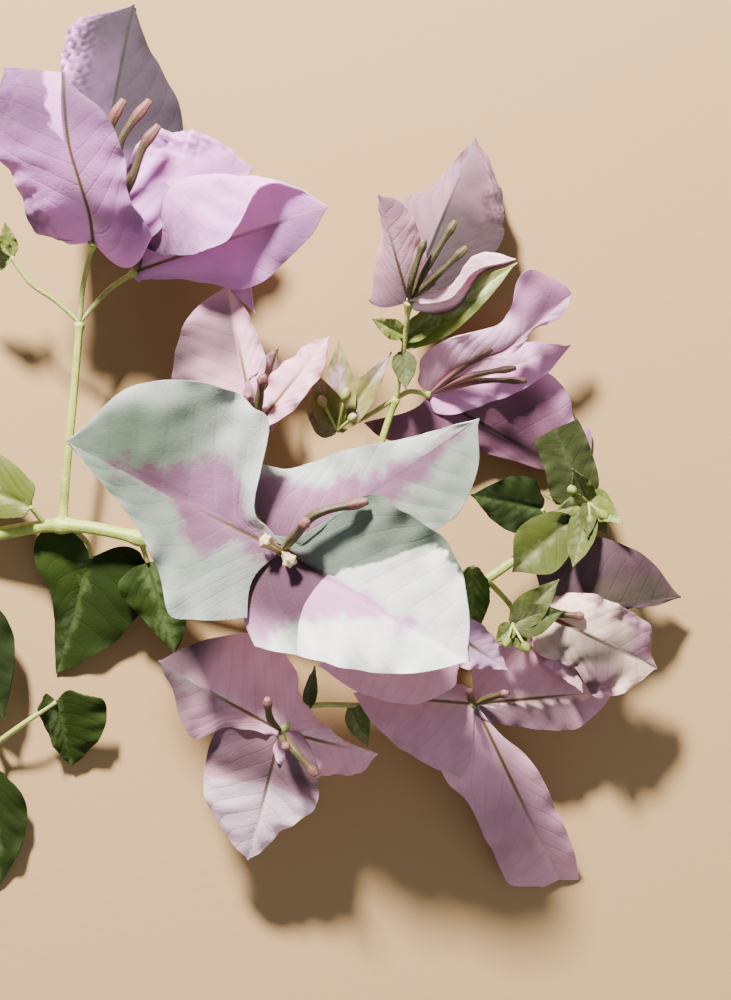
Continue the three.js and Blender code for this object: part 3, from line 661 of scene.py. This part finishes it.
def addBloom(name, given, material, seed):
    heart = given["heart"]
    bracts = Batch()
    for k, bract in enumerate(given["bracts"]):
        bracts.blade(heart, bract, seed * 10 + k)
    for k, leaflet in enumerate(given.get("leaflets", [])):
        bracts.blade(heart, {**smallBlade, **leaflet}, seed * 10 + 5 + k, look=1)
    bracts.piece(name + "_bracts", [material, youngLeaf], name)

    flowers = Batch()
    for k, tube in enumerate(given["tubes"]):
        opened = k in given.get("open", ())
        radius = tubeRadius(openProfile if opened else tubeProfile, given.get("tubeSize", 1))
        ribDepth, look = (0.25, 2) if opened else (0.09, 1)
        flowers.limb([heart] + tube, radius, sides=20, steps=36, ribs=5, ribDepth=ribDepth,
            twist=1.5, look=look)
    flowers.limb(given["stalk"] + [heart], stalkRadius, sides=14, steps=40, ribs=5, ribDepth=0.05)
    skin = given.get("tubeSkin", tubeOlive)
    flowers.piece(name + "_flowers", [stalkGreen, skin, tubeCream], name)


whiteBloom = {
    "heart": (0, 0, 40), "stalk": [(-8, -5.5, 12), (-5, -5, 26)],
    "bracts": [
        {"tip": (-42.5, 22, 46), "bow": 2, "ribReach": 0.5, "lift": (10, 10), "roll": (-7, 3), "heel": -3,
            "crinkle": 0.42, "pucker": 0.45, "corner": 0.5,
            "wide": ([15, 17.6, 19.8, 21.4, 15.8, 11.6, 8.2, 6.1, 4, 2, 0],
                [1.5, 3, 6, 21.5, 23.4, 24.3, 23.6, 21.8, 18.6, 13.5, 0]),
            "patch": ([0.2, 0.15, 0.2, 0.35, 0.33, 0.1, 0, -0.1, -0.2, -1, -1],
                [0.9, 0.9, 0.6, 0.5, 0.5, 0.35, 0.2, 0.1, 0, -0.3, -1]),
            "tone": ([0.5, 0.5, 0.6, 0.74, 0.76, 0.6], [0.3, 0.35, 0.4, 0.8, 0.84, 0.7]),
            "edgeShade": (-0.1, [0, -0.1, -0.1, -0.15, -0.5, -0.3])},
        {"tip": (39, 26.5, 44), "bow": -2, "ribReach": 0.5, "lift": (6, 8), "roll": (-6, -2),
            "pucker": 0.7, "crinkle": 0.34,
            "wide": ([16, 18, 13.6, 11.8, 10.6, 9, 7, 5, 3.3, 1.7, 0],
                [8, 11, 13.5, 15, 15.5, 14.5, 13.6, 13.4, 11, 6.9, 0]),
            "patch": ([0.9, 0.88, 0.8, 0.55, 0.45, 0.35, 0.3, 0.25, 0.15, 0, -1],
                [1.2, 1, 0.7, 0.5, 0.38, 0.34, 0.34, 0.32, 0.2, 0, -1]),
            "tone": ([0.7, 0.35, 0.3, 0.4, 0.38, 0.25], [0.74, 0.66, 0.62, 0.64, 0.66, 0.5])},
        {"tip": (37, -21.5, 47), "bow": 1, "ribReach": 0.3, "lift": (14, 3), "roll": (6, -6),
            "lobe": (0, -2), "heel": 4, "pucker": 0.55, "crinkle": 0.4,
            "wide": ([3, 7.7, 17.7, 20.5, 21, 20.5, 19.8, 18, 14.4, 8.6, 0],
                [19, 18.7, 17.5, 16, 14.6, 13.6, 12.2, 10.2, 7.5, 4, 0]),
            "patch": ([0.3, 0.1, 0, 0, 0, 0, 0, 0, -1, -1, -1],
                [1.3, 1, 0.66, 0.5, 0.4, 0.28, 0.15, 0, -0.5, -1, -1]),
            "lit": ([-2, -2, -0.4, 0.15, 0.3, 0.58, 0.84, 0.92, 1, 1.1, 1.2],
                [-2, -2, -0.6, 1.4, 2, 2, 2, 2, 2, 2, 2]),
            "tone": (0.7, 0.84), "edgeShade": (0.05, [-0.84, -0.84, 0, 0, 0, 0])},
    ],
    "tubes": [[(-2, 1.2, 43), (-4, 2.9, 45)], [(1, -1, 43.5), (2, -2.4, 45)],
        [(1.8, 2.5, 45), (5.1, 6.5, 50)], [(2.5, 3, 45), (6.4, 7.4, 48.5), (17, 10.2, 50)]],
    "open": (0, 1),
}
addBloom("bloom_white", whiteBloom, bractMaterial("white bract", whiteLook), 1)

lilacBract = bractMaterial("lilac bract", lilacLook)
duskyBract = bractMaterial("dusky bract", duskyLook)
# a dusky bract whose pale patch is painted sunlight
sunlitPatchBract = bractMaterial("dusky bract with painted sunlit patch", {**duskyLook, "patch": (255, 228, 243)})
calm = {"pucker": 0.08, "crinkle": 0.1, "wave": 0.6}

behindBloom = {
    "heart": (33, -16, 24), "stalk": [(30.5, -11.5, 12), (32, -13.5, 18)],
    "bracts": [
        {**calm, "tip": (7, -23.5, 31), "lobe": 2, "bow": 2, "tone": 0.08,
            "wide": ([10, 12, 13, 13.3, 13.2, 12.4, 11.2, 9.2, 7, 3.8, 0], [8, 10, 10, 9, 6, 0])},
        {"tip": (46, -25, 22.5), "wide": ([2, 4, 5, 4, 2.5, 0], [2, 4, 5.5, 4, 2, 0]), "lobe": 1,
            "tone": 0.3, "patch": 1.5},
        {**calm, "tip": (24, 6, 21), "wide": ([5, 9, 9, 7, 4, 0], [1, 2, 3, 3, 2, 0]), "lobe": 1},
    ],
    "tubes": [[(30, -12.5, 30), (27.5, -10, 35)]],
}
behindBract = bractMaterial("shaded bract", {**duskyLook, "patch": (236, 186, 232)})
addBloom("bloom_behind", behindBloom, behindBract, 2)

upperBloom = {
    "heart": (-6.5, 25.5, 22), "stalk": [(-15.5, -3, 12), (-10.5, 10.5, 14)],
    "bracts": [
        {"tip": (-12.5, 55.5, 19.5), "lobe": 2, "bow": 1, "pucker": 0.4,
            "tone": ([0, 0.05, 0.25, 0.66, 0.5, 0.1], [0, 0, 0, 0.15, 0.1, 0]),
            "edgeShade": ([0.7, 0.7, 0.5, 0.2, 0, 0], 0.2),
            "wide": ([5, 10, 13, 14.5, 14.8, 14.6, 13.8, 12.4, 10, 6.2, 0],
                [3, 3, 2.5, 2.5, 4.5, 4.9, 4.5, 3.8, 2.8, 1.5, 0])},
        {"tip": (-2, 43, 14), "wide": [4, 6, 6, 5, 3, 0], "face": (1, 0, 0.6), "lobe": 1, "tone": 0.4},
        {"tip": (9, 44, 27), "wide": [1, 2, 3, 3.8, 4.2, 4.3, 4.2, 3.8, 3, 1.8, 0], "face": (-0.5, 0, 1),
            "lobe": 1, "tone": 0},
    ],
    "tubes": [[(-7, 29, 26), (-7.5, 32, 31)], [(-5.5, 31, 25), (-4.5, 36, 29)]],
}
addBloom("bloom_upper", upperBloom, duskyBract, 3)

topLeftBloom = {
    "heart": (-40, 64, 24), "stalk": [(-44, 48, 15), (-43, 55.5, 17)],
    "bracts": [
        {"tip": (-44, 96, 40), "bow": 5, "lift": (-4, 24), "roll": (-8, -10), "lobe": (1, 3),
            "heel": (0, 5), "shoulder": (2, 0), "sway": [0, 0.6, 0, -0.8, -0.6, 0], "ribReach": 1.6,
            "crinkle": ([0.5, 0.5, 0.3, 0.3, 0.3, 0.3], 0.2),
            "blister": ([0.3, 0.4, 0.1, 0.1, 0.1, 0.2], 0.05),
            "pucker": 0.14, "wave": 0.7,
            "wide": ([7, 11.5, 12.3, 12.8, 13.6, 14.5, 16, 16, 15.5, 14, 12],
                [12, 13, 12, 10.4, 9.8, 10.4, 10, 9.2, 7.5, 2.8, 0.2]),
            "tone": ([0, 0.1, 0.12, 0.3, 0.66, 0.45], [0, 0.34, 0.12, 0.25, 0.6, 0.5]),
            "edgeShade": ([0, 0.45, 0, 0, 0, 0], [0, 0.1, 0.1, 0.1, 0, 0]),
            "lit": ([-1, -1, -1, 0, 0.25, 0.3], -9)},
        {"tip": (-34, 118.5, 0.5), "lobe": 2, "bow": 4, "crinkle": ([0.2, 0.2, 0.4, 0.9, 0.9, 0.6], 0.2),
            "blister": ([0, 0, 0.2, 0.8, 0.9, 0.7], 0), "ribReach": 1.6, "rows": 90, "columns": 27,
            "wide": ([9, 12, 13, 13.5, 13.5, 13.3, 13, 13.2, 13.5, 10.8, 0],
                [10, 14, 15, 15.5, 15.5, 15, 12, 8.5, 5.2, 2.2, 0]),
            "tone": ([0.5, 0.6, 0.7, 0.75, 0.79, 0.81, 0.82, 0.8, 0.9, 0.95, 0.9],
                [0.2, 0.3, 1, 1, 0.97, 0.95]), "edgeShade": (-0.45, 0)},
        {"tip": (-7, 80, 19), "tone": [0, 0, 0.05, 0.1, 0.25, 0.3], "ribReach": 0.3,
            "crinkle": ([0.3, 0.3, 0.6, 1, 1, 0.4], 0.3), "blister": ([0, 0, 0.2, 0.6, 0.6, 0.4], 0),
            "rows": 80, "columns": 25, "pucker": 0.15,
            "wide": ([0.5, 1, 3, 7.5, 13, 15.5, 15, 13.8, 12.2, 8, 0],
                [0.5, 0.5, 0.5, 0.5, 0.5, 1, 3, 4, 3, 2, 0])},
    ],
    "tubes": [[(-38, 78.5, 26), (-35.2, 88.5, 29), (-33, 92.5, 29)],
        [(-35, 78, 28), (-33, 84.5, 31), (-27.5, 92, 31)],
        [(-31.6, 75, 31), (-28.5, 82.5, 33), (-25.5, 86.5, 33)]],
}
addBloom("bloom_top_left", topLeftBloom, lilacBract, 4)

topLeftLowBloom = {
    "heart": (-32, 59, 14), "stalk": [(-44, 48, 15), (-38, 55, 13.5)],
    "bracts": [
        {"tip": (9, 70, 33), "lobe": 1, "bow": 1, "columns": 27, "roll": (0, -12),
            "lift": ([10, 14, 18, 22, 24, 24, 24, 24, 24, 24, 24], 4),
            "wide": ([5, 9, 14.5, 25, 31, 31, 27, 20, 12, 6.5, 0],
                [2, 3, 4.5, 6.5, 8.5, 10.5, 10.5, 8.6, 6.5, 4, 0]),
            "curl": ([90, 130, 150, 152, 152, 152, 152, 145, 110, 60, 0], 0),
            "curlFrom": ([0.75, 0.6, 0.48, 0.44, 0.42, 0.42, 0.44, 0.52, 0.65, 0.8, 0.9], 0.8),
            "curlTo": ([0.95, 0.8, 0.6, 0.55, 0.53, 0.53, 0.56, 0.68, 0.85, 0.95, 1], 1),
            "tone": ([0.15, 0.1, 0.05, 0, 0, 0], [0, 0, 0, 0.1, 0.5, 0.5]), "crinkle": (0.5, 0.15),
            "edgeShade": ([0.6, 0.6, 0.4, 0, 0, 0], [0.2, 0.25, 0.2, 0.1, 0, 0]),
            "blister": (0.2, 0), "wave": (0.9, 0.8), "pucker": 0.15},
        {"tip": (-6.5, 49.5, 20), "drift": [0, -3, -6, -8, -6, 0], "tone": 0.2,
            "wide": ([2, 3, 3.5, 4, 4, 0], [2, 3, 3.5, 4, 3.5, 0]), "lobe": 1},
        {"tip": (-21, 85.5, 8), "wide": [5, 9, 10, 8, 5, 0], "lobe": 1},
    ],
    "tubes": [[(-31.5, 61, 17), (-31, 64, 19)]],
}
addBloom("bloom_top_left_low", topLeftLowBloom, lilacBract, 5)

topMiddleBloom = {
    "heart": (25.5, 51.5, 24), "stalk": [(23, 32, 15), (24.5, 42, 18)],
    "bracts": [
        {"tip": (40.5, 89.5, 0.5), "lobe": 1, "bow": 3, "crinkle": (0.2, [0.2, 0.2, 0.4, 0.8, 0.8, 0.4]),
            "blister": (0.05, [0, 0, 0.1, 0.4, 0.3, 0]),
            "wide": ([5, 8, 9.5, 10, 9.8, 8, 5, 3.5, 2, 1, 0],
                [4, 7, 9.5, 11.5, 13, 13.2, 12.2, 10.3, 7.3, 3.8, 0]),
            "tone": ([0.74, 0.66, 0.5, 0.45, 0.5, 0.56],
                [0.94, 0.94, 0.94, 0.93, 0.92, 0.88, 0.74, 0.68, 0.62, 0.6, 0.6])},
        {"tip": (19, 72, 36), "lobe": (0, 1), "face": (0.4, -0.3, 1), "wave": 0.2, "crinkle": 0.15,
            "pucker": 0.1, "lift": ([-15, -40, -62, -75, -80, -80], 8),
            "tone": ([0.7, 0.5, 0.2, 0, 0, 0], [0.6, 0.35, 0.1, 0.1, 0.25, 0.4]),
            "wide": ([8, 7.5, 7, 6.5, 6, 5, 4, 3, 2, 1, 0],
                [5, 6, 6.5, 6.5, 6.3, 6.2, 6.1, 5.9, 5, 3.5, 0])},
        {"tip": (46.5, 58.5, 40), "lobe": 0, "face": (0, -0.4, 1), "tone": 0, "edgeShade": (0, 0.8),
            "wave": 0.2, "crinkle": 0.1,
            "drift": [0, 0.8, 1.5, 2, 2, 1, -0.5, -1.5, -1.5, -0.8, 0], "ribReach": 0.3,
            "wide": ([1.5, 3.5, 4.5, 4.5, 4.5, 4.5, 5, 5.5, 5.5, 4, 0],
                [3, 3.6, 3.6, 3.2, 2.6, 2, 1.7, 1.5, 1.3, 1, 0]),
            # its patch is painted sunlight on the rolled rim
            "curl": (165, 0), "curlFrom": (0.3, 0.8), "curlTo": (0.6, 1), "patch": (1.5, 0.6)},
    ],
    "leaflets": [
        {"base": (24.5, 45, 19.5), "tip": (17.8, 48, 24), "wide": 2.2, "tone": 0.1},
        {"base": (24.5, 44, 18.5), "tip": (34.5, 51.8, 20), "wide": 2.6, "tone": 0.2},
        {"base": (24.4, 41.6, 17.8), "tip": (25, 33.5, 21.5), "wide": 2.7, "tone": 0.6},
        {"base": (24.5, 43, 17.5), "tip": (48.5, 60.5, 16), "wide": 4, "tone": 0.1},
    ],
    "tubes": [[(25.8, 55, 29), (28.5, 63.5, 32)], [(28.5, 57, 28), (35, 67.5, 30)],
        [(31, 56, 32), (37, 61.5, 35)]],
    "tubeSize": 0.78, "tubeSkin": shadedGreenTube,
}
addBloom("bloom_top_middle", topMiddleBloom, sunlitPatchBract, 6)

rightTopBloom = {
    "heart": (30, 33, 10), "stalk": [(23, 32, 15), (26, 33.5, 12)],
    "bracts": [
        {"tip": (60, 54, 16), "lobe": 1, "bow": 4, "face": (0.3, -0.3, 1),
            "tone": ([0.1, 0.1, 0.1, 0.2, 0.4, 0.45], 0.1),
            "drift": [0, -1, -1.5, -1.5, -1, 0, 0, 0, 0, 0, 0],
            "crinkle": ([0.2, 0.2, 0.2, 0.4, 0.8, 0.5], 0.3), "patch": ([1.5, 1.5, 1.5, 1.2, 0, 0], 1),
            "wide": ([5, 7, 7.6, 7.6, 7, 6.2, 5.2, 7, 10.3, 10.3, 2.5],
                [1, 0.5, 0.3, 0.4, 0.8, 1.4, 1.8, 0.8, 1.6, 2.2, 0])},
        {"tip": (60.5, 43.5, 9), "wide": ([3, 4, 5, 5, 3, 0], [5, 6, 6, 5.5, 4, 0]), "lobe": 1,
            "tone": 0.12, "patch": ([1, 1, 0.6, 0.2, 0, 0], 0)},
        {"tip": (65, 14.5, 0.5), "lobe": (0, 12), "pucker": 0.15,
            "tone": ([0.6, 0.74, 0.74, 0.7, 0.66, 0.6], 0.72),
            "edgeShade": ([-0.4, -0.5, -0.6, -0.6, -0.4, 0], 0),
            "wide": ([6, 11, 14, 15.5, 16, 16.3, 15.8, 13.5, 10, 9.5, 0],
                [12, 13, 12, 10, 7, 5.5, 4, 3, 2, 1, 0])},
    ],
    "tubes": [[(36.5, 38, 17), (43, 42, 19)], [(38.5, 36.5, 17), (48, 38, 20)],
        [(40.5, 35.5, 15), (50.5, 35.5, 17)]],
    "tubeSize": 0.68, "tubeSkin": tubeBrown,
}
pinkLilac = {
    **lilacLook, "light": (238, 164, 220), "mottle": (244, 180, 226), "shade": (88, 76, 68),
    "patch": (246, 196, 226), "vein": (206, 140, 180), "under": (206, 150, 176),
    "through": (226, 180, 196),
}
addBloom("bloom_right_top", rightTopBloom, bractMaterial("pink lilac bract", pinkLilac), 7)

rightBloom = {
    "heart": (54, -13.5, 17), "stalk": [(48, -13, 21), (51, -13, 20)],
    "bracts": [
        {"tip": (84.5, -10.5, 6), "wide": ([14, 17, 15.5, 12.5, 8, 0], [0.5, 0.7, 1, 1, 1, 0]), "lobe": 3,
            "pucker": 0, "crinkle": 0.08, "wave": 0.4, "groove": 0.1,
            "bow": 3, "tone": [0.76, 0.77, 0.78, 0.8, 0.8, 0.7], "patch": ([0, 0.1, 0.35, 0.4, 0.5, 0], 0)},
        {"tip": (78, -25, 16), "lobe": 2, "bow": 4,
            "crinkle": 1.3, "blister": 0.25, "pucker": 0.3, "wave": 1.2,
            "wide": ([4, 5.5, 7, 8, 8.4, 8.5, 8.3, 8, 7, 2.6, 0],
                [5.5, 7.5, 8, 7.8, 7.5, 8.5, 10.8, 10.5, 8.7, 5, 0]),
            "patch": ([1.5, 1.5, 1.2, 0.8, 0, 0], [1.5, 1.5, 0.8, 0.3, 1, 1.5]),
            "tone": ([0, 0, 0.2, 0.5, 0.5, 0.3], [0, 0.3, 0.66, 0.7, 0.1, 0]), "edgeShade": (0, -0.1)},
        {"tip": (62, -30, 19), "wide": [3, 5, 5, 4, 2, 0], "lobe": 1, "tone": 0.3},
    ],
    "tubes": [[(57, -13.5, 20), (62, -13.8, 22)]],
    "tubeSize": 0.8,
}
addBloom("bloom_right", rightBloom, duskyBract, 8)

lowerBloom = {
    "heart": (39.5, -32.5, 18), "stalk": [(32.5, -33.5, 13), (36, -33, 15)],
    "bracts": [
        {**calm, "tip": (14, -30, 21), "lobe": 1, "tone": 0.17,
            "wide": ([15.7, 15.6, 14.9, 14.2, 12.9, 11.7, 10.6, 8.4, 6.2, 3.5, 0], [3, 4, 4, 3, 2, 0])},
        {**calm, "tip": (58.5, -72, 0.5), "lobe": 1, "bow": 4, "shoulder": (2.3, 0), "tipUp": 0.8,
            "tone": [0, 0, 0.15, 0.27, 0.2, 0.1],
            "wide": ([0.5, 1, 2.5, 4.8, 5.8, 6.1, 6.1, 6, 5.8, 5.2, 4],
                [11, 12, 12.5, 12.3, 10.4, 10.2, 10.4, 10.3, 10.5, 9.8, 4])},
        {**calm, "tip": (70, -30.5, 10), "lobe": 1, "tone": (0.18, [0.6, 0.62, 0.62, 0.6, 0.2, 0.1]),
            "lit": (-9, 0.12),
            "wide": ([9, 10.5, 11.5, 12.6, 13, 11, 8.8, 5.5, 3.3, 1.6, 0],
                [3, 4, 4.8, 5.6, 6.3, 6.8, 7.2, 7.4, 5.8, 3, 0])},
    ],
    "tubes": [[(42, -31, 21), (46, -29.5, 25)], [(38.5, -31, 22), (38, -29, 26)]],
    "tubeSize": 0.8,
}
addBloom("bloom_lower", lowerBloom, duskyBract, 9)

lowerLeftBloom = {
    "heart": (-1, -37.5, 24), "stalk": [(32.5, -33.5, 13), (24, -33.5, 16), (13.5, -32.5, 20),
        (3.5, -33, 22)],
    "bracts": [
        {"tip": (-26.5, -23, 24), "lobe": 1, "bow": 2, "crinkle": (0.5, 0.2),
            "tone": ([0, 0, 0.2, 0.56, 0.77, 0.84], [0, 0, 0, 0, 0, 0, 0, 0.3, 0.68, 0.75, 0.7]),
            "wide": ([1.5, 2, 2.5, 4, 6, 10, 9, 7, 3.8, 2, 0],
                [8, 11.5, 13.5, 14.7, 15.4, 15.2, 13.5, 11.2, 8.3, 4.5, 0])},
        {"tip": (-8.5, -66, 13), "lobe": 2, "bow": 2, "crinkle": 0.25, "pucker": 0.15, "wave": 0.4,
            "tone": [0.4, 0.52, 0.62, 0.68, 0.35, 0, 0, 0, 0, 0, 0],
            # the patch is painted sunlight on the lower part of the bract
            "patch": [-1, -1, -1, -0.6, 0.4, 1.5, 1.5, 1.5, 1.5, 1.5, 1.5],
            "wide": ([5, 7, 9, 10, 11.2, 10.5, 8, 5.4, 3.8, 2.4, 0],
                [9, 12, 13.5, 13.8, 13.6, 13, 12, 9.8, 7, 4, 0])},
        {"tip": (19, -43.5, 14), "lobe": 2, "bow": 1, "tone": 0.05,
            "wide": ([11.4, 9, 7, 5, 3.6, 2.4, 1.5, 1, 0.6, 0.3, 0],
                [5, 6.5, 7.2, 7.5, 7.4, 7.2, 6.8, 6.2, 5.2, 4, 0])},
    ],
    "leaflets": [
        {"base": (13.5, -32.5, 20), "tip": (17, -41.5, 17), "wide": 2.5, "tone": 0.4},
        {"base": (4.5, -33, 22), "tip": (6, -24, 25), "wide": 1.5, "tone": 0.6},
    ],
    "tubes": [[(-3, -34.5, 29), (-3.5, -30, 33)], [(2, -41, 29), (6.5, -46, 30)],
        [(-0.5, -39, 29), (0.5, -40, 33)]],
    "tubeSize": 0.85,
}
addBloom("bloom_lower_left", lowerLeftBloom, sunlitPatchBract, 10)
print("stage: blooms")


# Buds and young clusters
creamLook = {
    "light": (142, 136, 66), "shade": (80, 80, 50), "mottle": (160, 134, 96), "patch": (236, 190, 226),
    "rim": (176, 162, 104), "rimShare": 0.4, "vein": (140, 134, 70), "veinShare": 0.3,
    "midrib": (150, 160, 76), "under": (190, 182, 130), "underShare": 0.4,
    "through": (160, 150, 80), "throughShare": 0.3,
}
darkLook = {
    "light": (64, 84, 22), "shade": (70, 76, 60), "mottle": (50, 70, 18), "patch": (150, 172, 110),
    "rim": (68, 88, 30), "rimShare": 0.3, "vein": (66, 86, 28), "veinShare": 0.3,
    "midrib": (96, 116, 52), "under": (92, 112, 62), "underShare": 0.55,
    "through": (90, 130, 20), "throughShare": 0.2, "gloss": 0.12,
}
creamBud = bractMaterial("cream bud", creamLook)
darkLeaf = bractMaterial("dark leaf", darkLook)


def budRadius(size):  # round in the middle and drawn in at both ends
    return lambda t, path: size * np.sin(np.pi * np.clip(t * 0.94 + 0.05, 0, 1)) ** 0.7 + 0.08


def addBuds(name, given, material, seed):  # a knob is a small closed bud: its foot, length and size
    heart = given["heart"]
    batch = Batch()
    for k, bract in enumerate(given["bracts"]):
        batch.blade(heart, {**smallBlade, **bract}, seed * 10 + k)
    for knob, length, size in given["knobs"]:
        foot = np.array(knob, float)
        towards = foot - np.array(heart)
        end = foot + towards / np.linalg.norm(towards) * length
        batch.limb([heart, (foot + heart) / 2, knob], taper(0.3, 0.3), sides=8, steps=8, look=1)
        batch.limb([knob, (foot + end) / 2, end], budRadius(size), sides=12, steps=10, ribs=3, ribDepth=0.1)
    batch.limb(given["stalk"] + [heart], taper(0.5, 0.5), sides=14, steps=30, ribs=5, ribDepth=0.05, look=1)
    batch.piece(name + "_cluster", [material, stalkGreen], name)


youngBuds = {
    "heart": (10.5, 25, 16), "stalk": [(23, 32, 15), (16.5, 28, 15)],
    "bracts": [{"tip": (4, 29, 18), "wide": 3}, {"tip": (11, 44, 18), "wide": 4},
        {"tip": (22, 41.5, 19), "wide": 3}, {"tip": (5.5, 37.5, 22), "wide": 3.5}],
    "knobs": [((8, 30, 20), 3, 1.0), ((12, 31, 20), 3.4, 1.1), ((13, 27, 19), 2.6, 0.9)],
}
addBuds("buds_young", youngBuds, creamBud, 21)

leftBuds = {
    "heart": (-58, 61.5, 18), "stalk": [(-44, 48, 15), (-49, 52.5, 16), (-54, 56, 17)],
    "bracts": [{"tip": (-59, 68.5, 20), "wide": 2}, {"tip": (-63, 66, 20), "wide": 2},
        {"tip": (-68.5, 61, 14), "wide": 3}],
    "knobs": [((-60, 63, 20), 2.6, 1.0)],
}
addBuds("buds_left", leftBuds, youngLeaf, 22)

rightBuds = {
    "heart": (64, 10, 12), "stalk": [(60.5, 7, 11), (62, 8.5, 11.5)],
    "bracts": [
        {"tip": (56.5, 25.5, 15), "tone": 0.7, "rows": 36, "columns": 13,
            "wide": ([2, 5, 6.5, 7, 6.8, 6.4, 6, 5.8, 5.6, 5.5, 5.3],
                [1, 3, 4, 4.5, 4.8, 5, 5.2, 5.4, 5.5, 5.5, 5.3])},
        {"tip": (59.5, -3.5, 24), "wide": [1.5, 2.5, 3.2, 3, 2, 0], "tone": 0.45},
        {"tip": (69.5, 8.5, 15), "wide": 3.4, "tone": 0.3},
        {"tip": (54, 11.5, 14), "wide": 2.4, "tone": 0.2},
        {"tip": (68, 3, 12), "wide": 2.2, "tone": 0.4},
        {"tip": (47, -4.5, 24), "wide": [1, 2, 4.5, 6, 5.5, 0], "tone": 0.48, "rows": 30, "columns": 11},
        {"tip": (70.5, 5.5, 19), "wide": 2.6, "tone": 0.2}, {"tip": (60, 17, 18), "wide": 2.4, "tone": 0.5},
        {"tip": (56, 8, 19), "wide": 2.2, "tone": 0.3}, {"tip": (63, 2.5, 20), "wide": 2, "tone": 0.6},
    ],
    "knobs": [((66, 8, 15), 2.8, 1.1), ((61, 12, 15), 2.6, 1.0), ((64, 7, 15), 2.4, 0.9)],
}
addBuds("buds_right", rightBuds, youngLeaf, 23)

lowerRightBuds = {
    "heart": (47, -15.5, 24), "stalk": [(48, -13, 21), (47.5, -14.5, 23)],
    "bracts": [
        {"tip": (56.5, -6, 26), "wide": 3.4, "tone": 0.5},
        {"tip": (57.5, -12.5, 26), "wide": 3.6, "tone": 0.62},
        {"tip": (43.5, -19, 25), "wide": 2, "tone": 0.3},
        {"tip": (49.5, -21.5, 24), "wide": 2, "tone": 0.4},
    ],
    "knobs": [((46, -18, 26), 2.4, 1.0), ((49, -19, 26), 2.4, 1.0)],
}
addBuds("buds_lower_right", lowerRightBuds, youngLeaf, 24)
print("stage: buds")


# Leaves
# a leaf's shape where nothing else is given, with painted shade of middle depth
leafBlade = {
    "rows": 48, "columns": 15, "wave": 0.7, "waves": 1.6, "pucker": 0.3, "crinkle": 0.12, "veins": 6,
    "corner": 1.2, "groove": 0.45, "lift": 14, "roll": -9, "thick": 0.35, "tone": 0.5,
}


def addLeaf(name, given, seed):
    batch = Batch()
    batch.blade(given["stalk"][-1], {**leafBlade, **given["blade"]}, seed)
    batch.limb(given["stalk"], taper(0.62, 0.47), sides=12, steps=24, ribs=4, ribDepth=0.06, look=1)
    batch.piece(name + "_blade", [given["look"], stalkGreen], name)


leaves = {
    "leaf_node": {"stalk": [(-46, 4.5, 12), (-43, 1, 9), (-42.5, -2, 7)], "look": darkLeaf,
        "blade": {"tip": (-51, -27.5, 0.5), "lobe": 6, "heel": 3,
            "tone": (0.6, [0.35, 0.4, 0.5, 0.6, 0.6, 0.6]),
            "wide": ([10, 13, 14.3, 14.6, 13.5, 12, 10.8, 8.3, 5.5, 3, 0],
                [9, 12, 12.5, 10.5, 7, 5, 4, 3, 2, 1, 0])}},
    "leaf_node_right": {"stalk": [(-31.5, 2.5, 13), (-30, -3, 11)], "look": darkLeaf,
        "blade": {"tip": (-24.5, -22.5, 9), "tone": 0.5,
            "wide": ([3, 5, 6.5, 7, 6.5, 5.5, 5, 4.5, 3.5, 2, 0], [5, 7, 7.5, 7, 6, 5, 4, 3, 2, 1, 0])}},
    "leaf_upper_left": {"stalk": [(-51.5, 4.6, 11), (-54.5, 9, 14.5)], "look": youngLeaf,
        "slot": "young_leaf",
        "blade": {"tip": (-83, 20, 0.5), "tone": 0.35, "wide": ([3, 5, 6, 5, 3, 0], [5, 7, 8, 7, 4, 0])}},
    "leaf_left": {"stalk": [(-71, -7, 5), (-72, -11, 7)], "look": darkLeaf,
        "blade": {"tip": (-61, -37, 8), "wide": 9, "tone": 0.7}},
    "leaf_heart": {"stalk": [(-63, -42, 5), (-56, -37, 8), (-50, -33, 8)], "look": darkLeaf,
        "blade": {"tip": (-47.5, -47.5, 2), "lobe": 2, "tone": 0.5, "heel": 2, "corner": 3,
            "wide": ([6, 9.5, 10.5, 10.4, 10, 9.2, 8, 6.5, 4.6, 2.6, 0],
                [3, 4, 4.2, 4, 3.6, 3.2, 2.8, 2.3, 1.7, 0.9, 0])}},
    "leaf_low": {"stalk": [(-63, -42, 5), (-65, -48, 5)], "look": darkLeaf,
        "blade": {"tip": (-64.5, -76, 0.5), "wide": 8, "tone": 0.6}},
    "leaf_right": {"stalk": [(55.5, 3.5, 12), (54, 8.5, 15)], "look": darkLeaf,
        "blade": {"tip": (38.5, 11.5, 20), "wide": 6, "tone": 0.7}},
    "leaf_right_low": {"stalk": [(34, -10.3, 12), (35.5, -6, 17), (39, -3.5, 21.5)], "look": darkLeaf,
        "blade": {"tip": (38.5, -19.5, 22), "wide": 3.6, "tone": 0}},
}
firstLeafSeed = 31
for seed, (name, leaf) in enumerate(leaves.items(), firstLeafSeed):
    addLeaf(name, leaf, seed)
print("stage: leaves")
